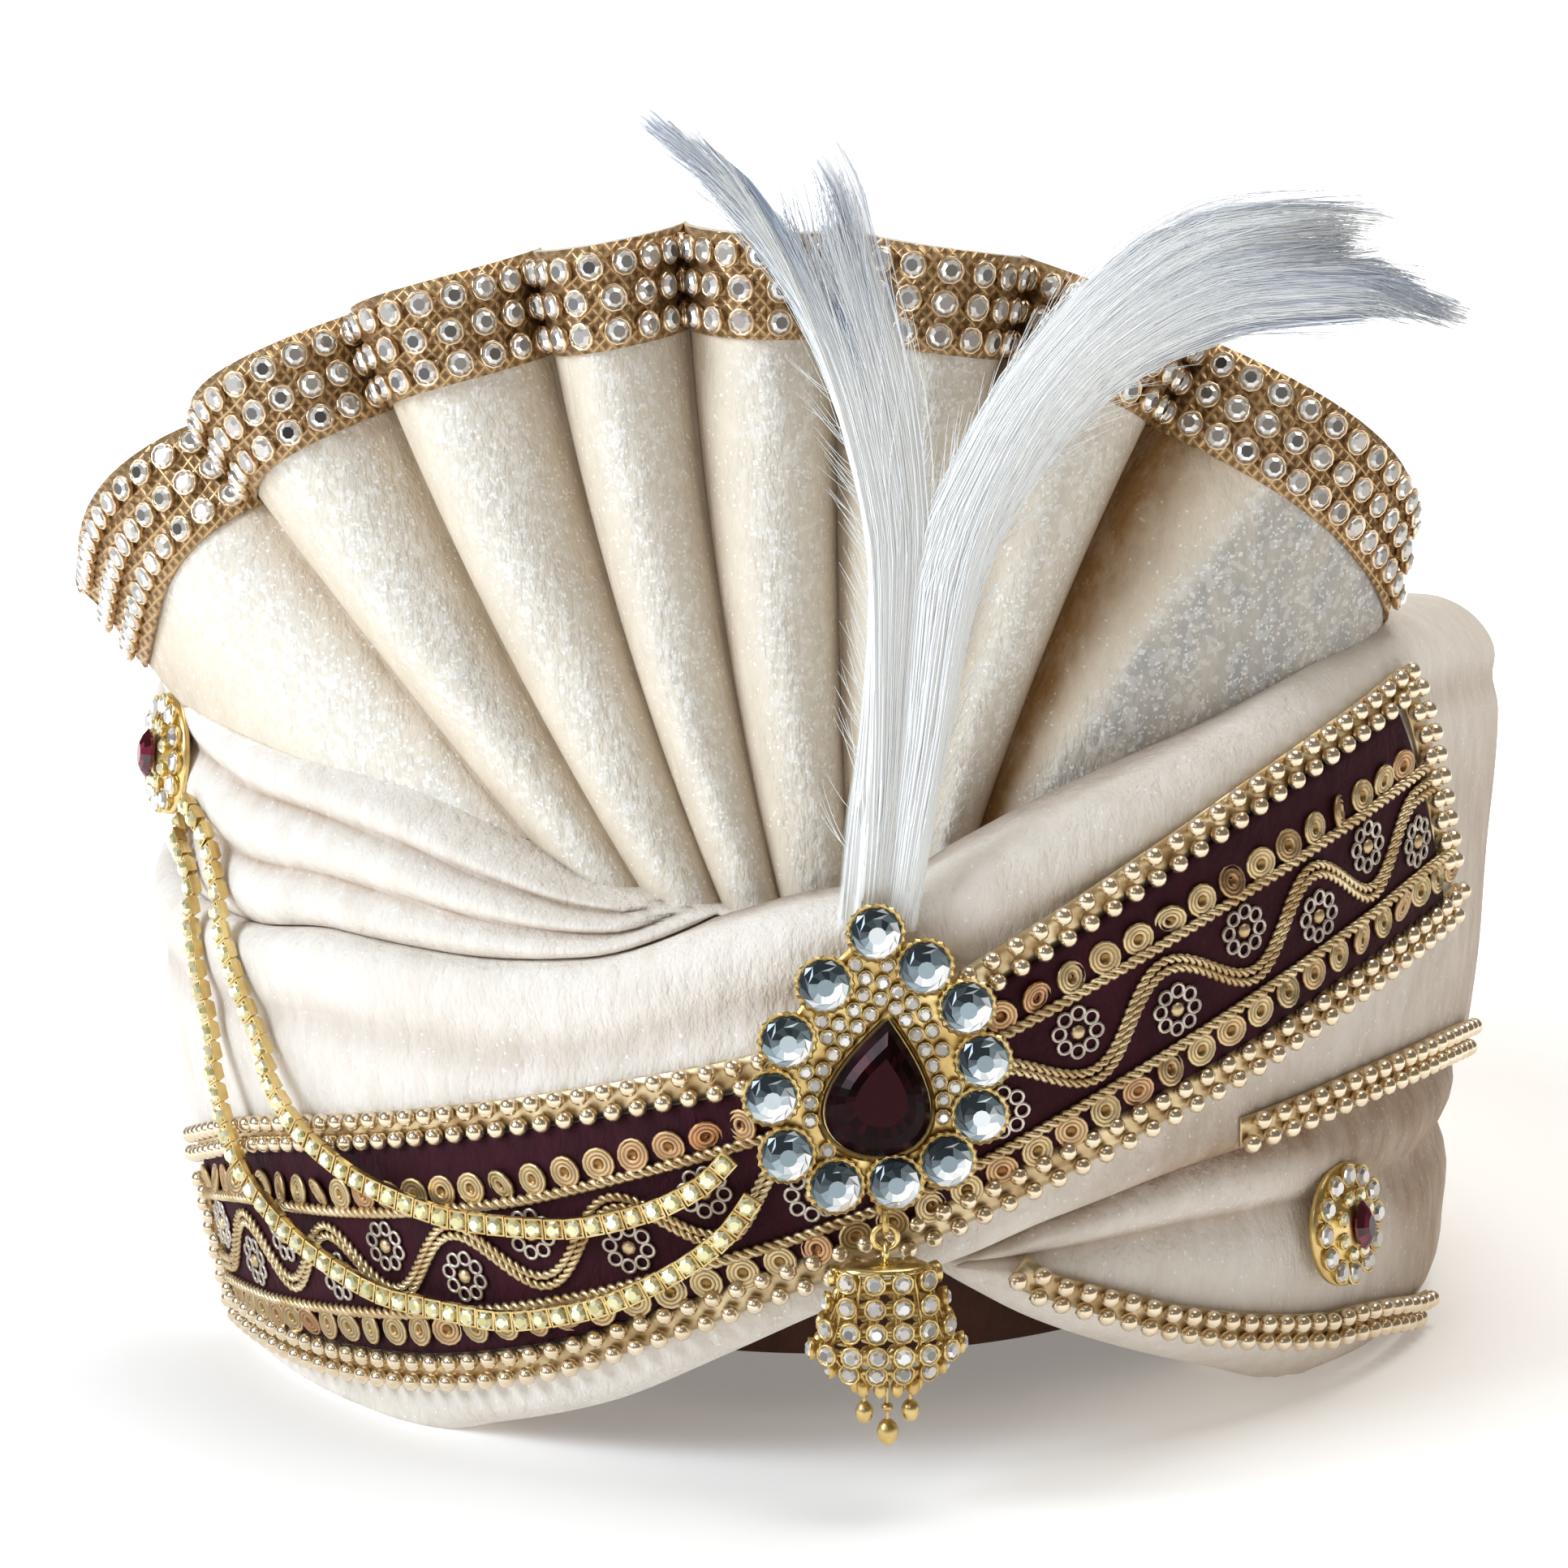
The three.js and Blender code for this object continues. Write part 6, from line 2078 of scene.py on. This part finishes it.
def pale_paper():
    """Matt paper with a glow that is dimmer at the sides, in front and near the turban."""
    material, first, shader = new_finish(
        "pale_paper", Base_Color=ink("f4f4f3"), Roughness=0.9, Emission_Strength=1.0
    )
    material.cycles.emission_sampling = "NONE"
    spot = [first.node("ShaderNodeSeparateXYZ", sockets={0: place_of(first)}, output=k) for k in (0, 1)]
    aside = within(first, first.math("ABSOLUTE", spot[0], 0.0), 0.45, 0.8)
    ahead = within(first, 0.0 - spot[1], 0.3, 0.6)
    away = first.node("ShaderNodeVectorMath", {"operation": "LENGTH"}, {0: place_of(first)}, output=1)
    near = 1.0 - within(first, away, 0.19, 0.48)
    dim = first.math("MAXIMUM", first.math("MAXIMUM", aside, ahead), near)
    feed(shader, Emission_Color=blend(first, dim, (0.95, 0.95, 0.95, 1.0), (0.22, 0.21, 0.2, 1.0)))
    return material


sweep_floor()

# %% [markdown]
# Three soft lamps are enough. A large cool one at the left models the cloth, a wide one above lights the
# tops of the folds and gives the beads a highlight, and a weak one in front wakes the stones. A dim warm
# world fills the shade, so that the right side turns tan and not grey.

# %% Lights
LAMPS = [
    ("key_left", (-1300, -600, 900), (0, 0, 110), 700, 22.0, (0.78, 0.88, 1.0)),
    ("front", (-500, -1400, 800), (0, 0, 100), 320, 1.0, (0.95, 0.97, 1.0)),
    ("top_back", (350, -50, 1500), (0, 0, 120), 900, 13.0, (0.98, 0.97, 0.95)),
]
WORLD_TINT = (1.0, 0.88, 0.74, 1.0)
WORLD_STRENGTH = 0.16


def stand(name, data, right, up, back, place):
    """Object whose X, Y and Z are the given directions."""
    made = bpy.data.objects.new(name, data)
    columns = np.stack([right, up, back, place * MM], 1)
    made.matrix_world = Matrix(np.vstack([columns, [0, 0, 0, 1]]).tolist())
    bpy.context.scene.collection.objects.link(made)
    return made


def soft_light(name, place, target, size, power, tint):
    """Square soft light at a place, aimed at a target."""
    lamp = bpy.data.lights.new(name, "AREA")
    lamp.size = size * MM
    lamp.energy = power
    lamp.color = tint
    back = unit(np.array(place, float) - np.array(target, float))
    right = unit(np.cross(np.array([0.0, 0.0, 1.0]), back))
    stand(name, lamp, right, np.cross(back, right), back, np.array(place, float))


for row in LAMPS:
    soft_light(*row)

world = bpy.data.worlds.new("studio")
world.use_nodes = True
background = world.node_tree.nodes["Background"]
background.inputs["Color"].default_value = WORLD_TINT
background.inputs["Strength"].default_value = WORLD_STRENGTH
bpy.context.scene.world = world
bpy.context.scene.view_settings.view_transform = "Standard"
print("lamps:", [row[0] for row in LAMPS])

# %% [markdown]
# The camera was fitted to the body's edges: a little to the left, a little above, tipped by one degree. Its
# focal length follows from the distance and from how many pixels a millimetre takes in the square picture.

# %% Camera
VIEW_AZIMUTH = np.radians(-5.0)
VIEW_HEIGHT = np.radians(12.0)
VIEW_ROLL = np.radians(1.0)
VIEW_DISTANCE = 1050.0
VIEW_TARGET = np.array([-6.0, 0.0, 91.6])
IMAGE_SIDE = 1932
FOCAL_PIXELS = 6.56 * VIEW_DISTANCE
SENSOR = 36.0

flat_reach = np.cos(VIEW_HEIGHT)
back = np.array(
    [np.sin(VIEW_AZIMUTH) * flat_reach, -np.cos(VIEW_AZIMUTH) * flat_reach, np.sin(VIEW_HEIGHT)]
)
level = np.array([np.cos(VIEW_AZIMUTH), np.sin(VIEW_AZIMUTH), 0.0])
upright = np.cross(back, level)
right = np.cos(VIEW_ROLL) * level - np.sin(VIEW_ROLL) * upright
up = np.sin(VIEW_ROLL) * level + np.cos(VIEW_ROLL) * upright
lens = bpy.data.cameras.new("camera")
lens.sensor_width = SENSOR
lens.lens = FOCAL_PIXELS / IMAGE_SIDE * SENSOR
lens.clip_end = 20.0
bpy.context.scene.camera = stand("camera", lens, right, up, back, VIEW_TARGET + back * VIEW_DISTANCE)
print("lens:", round(lens.lens, 1), "mm")
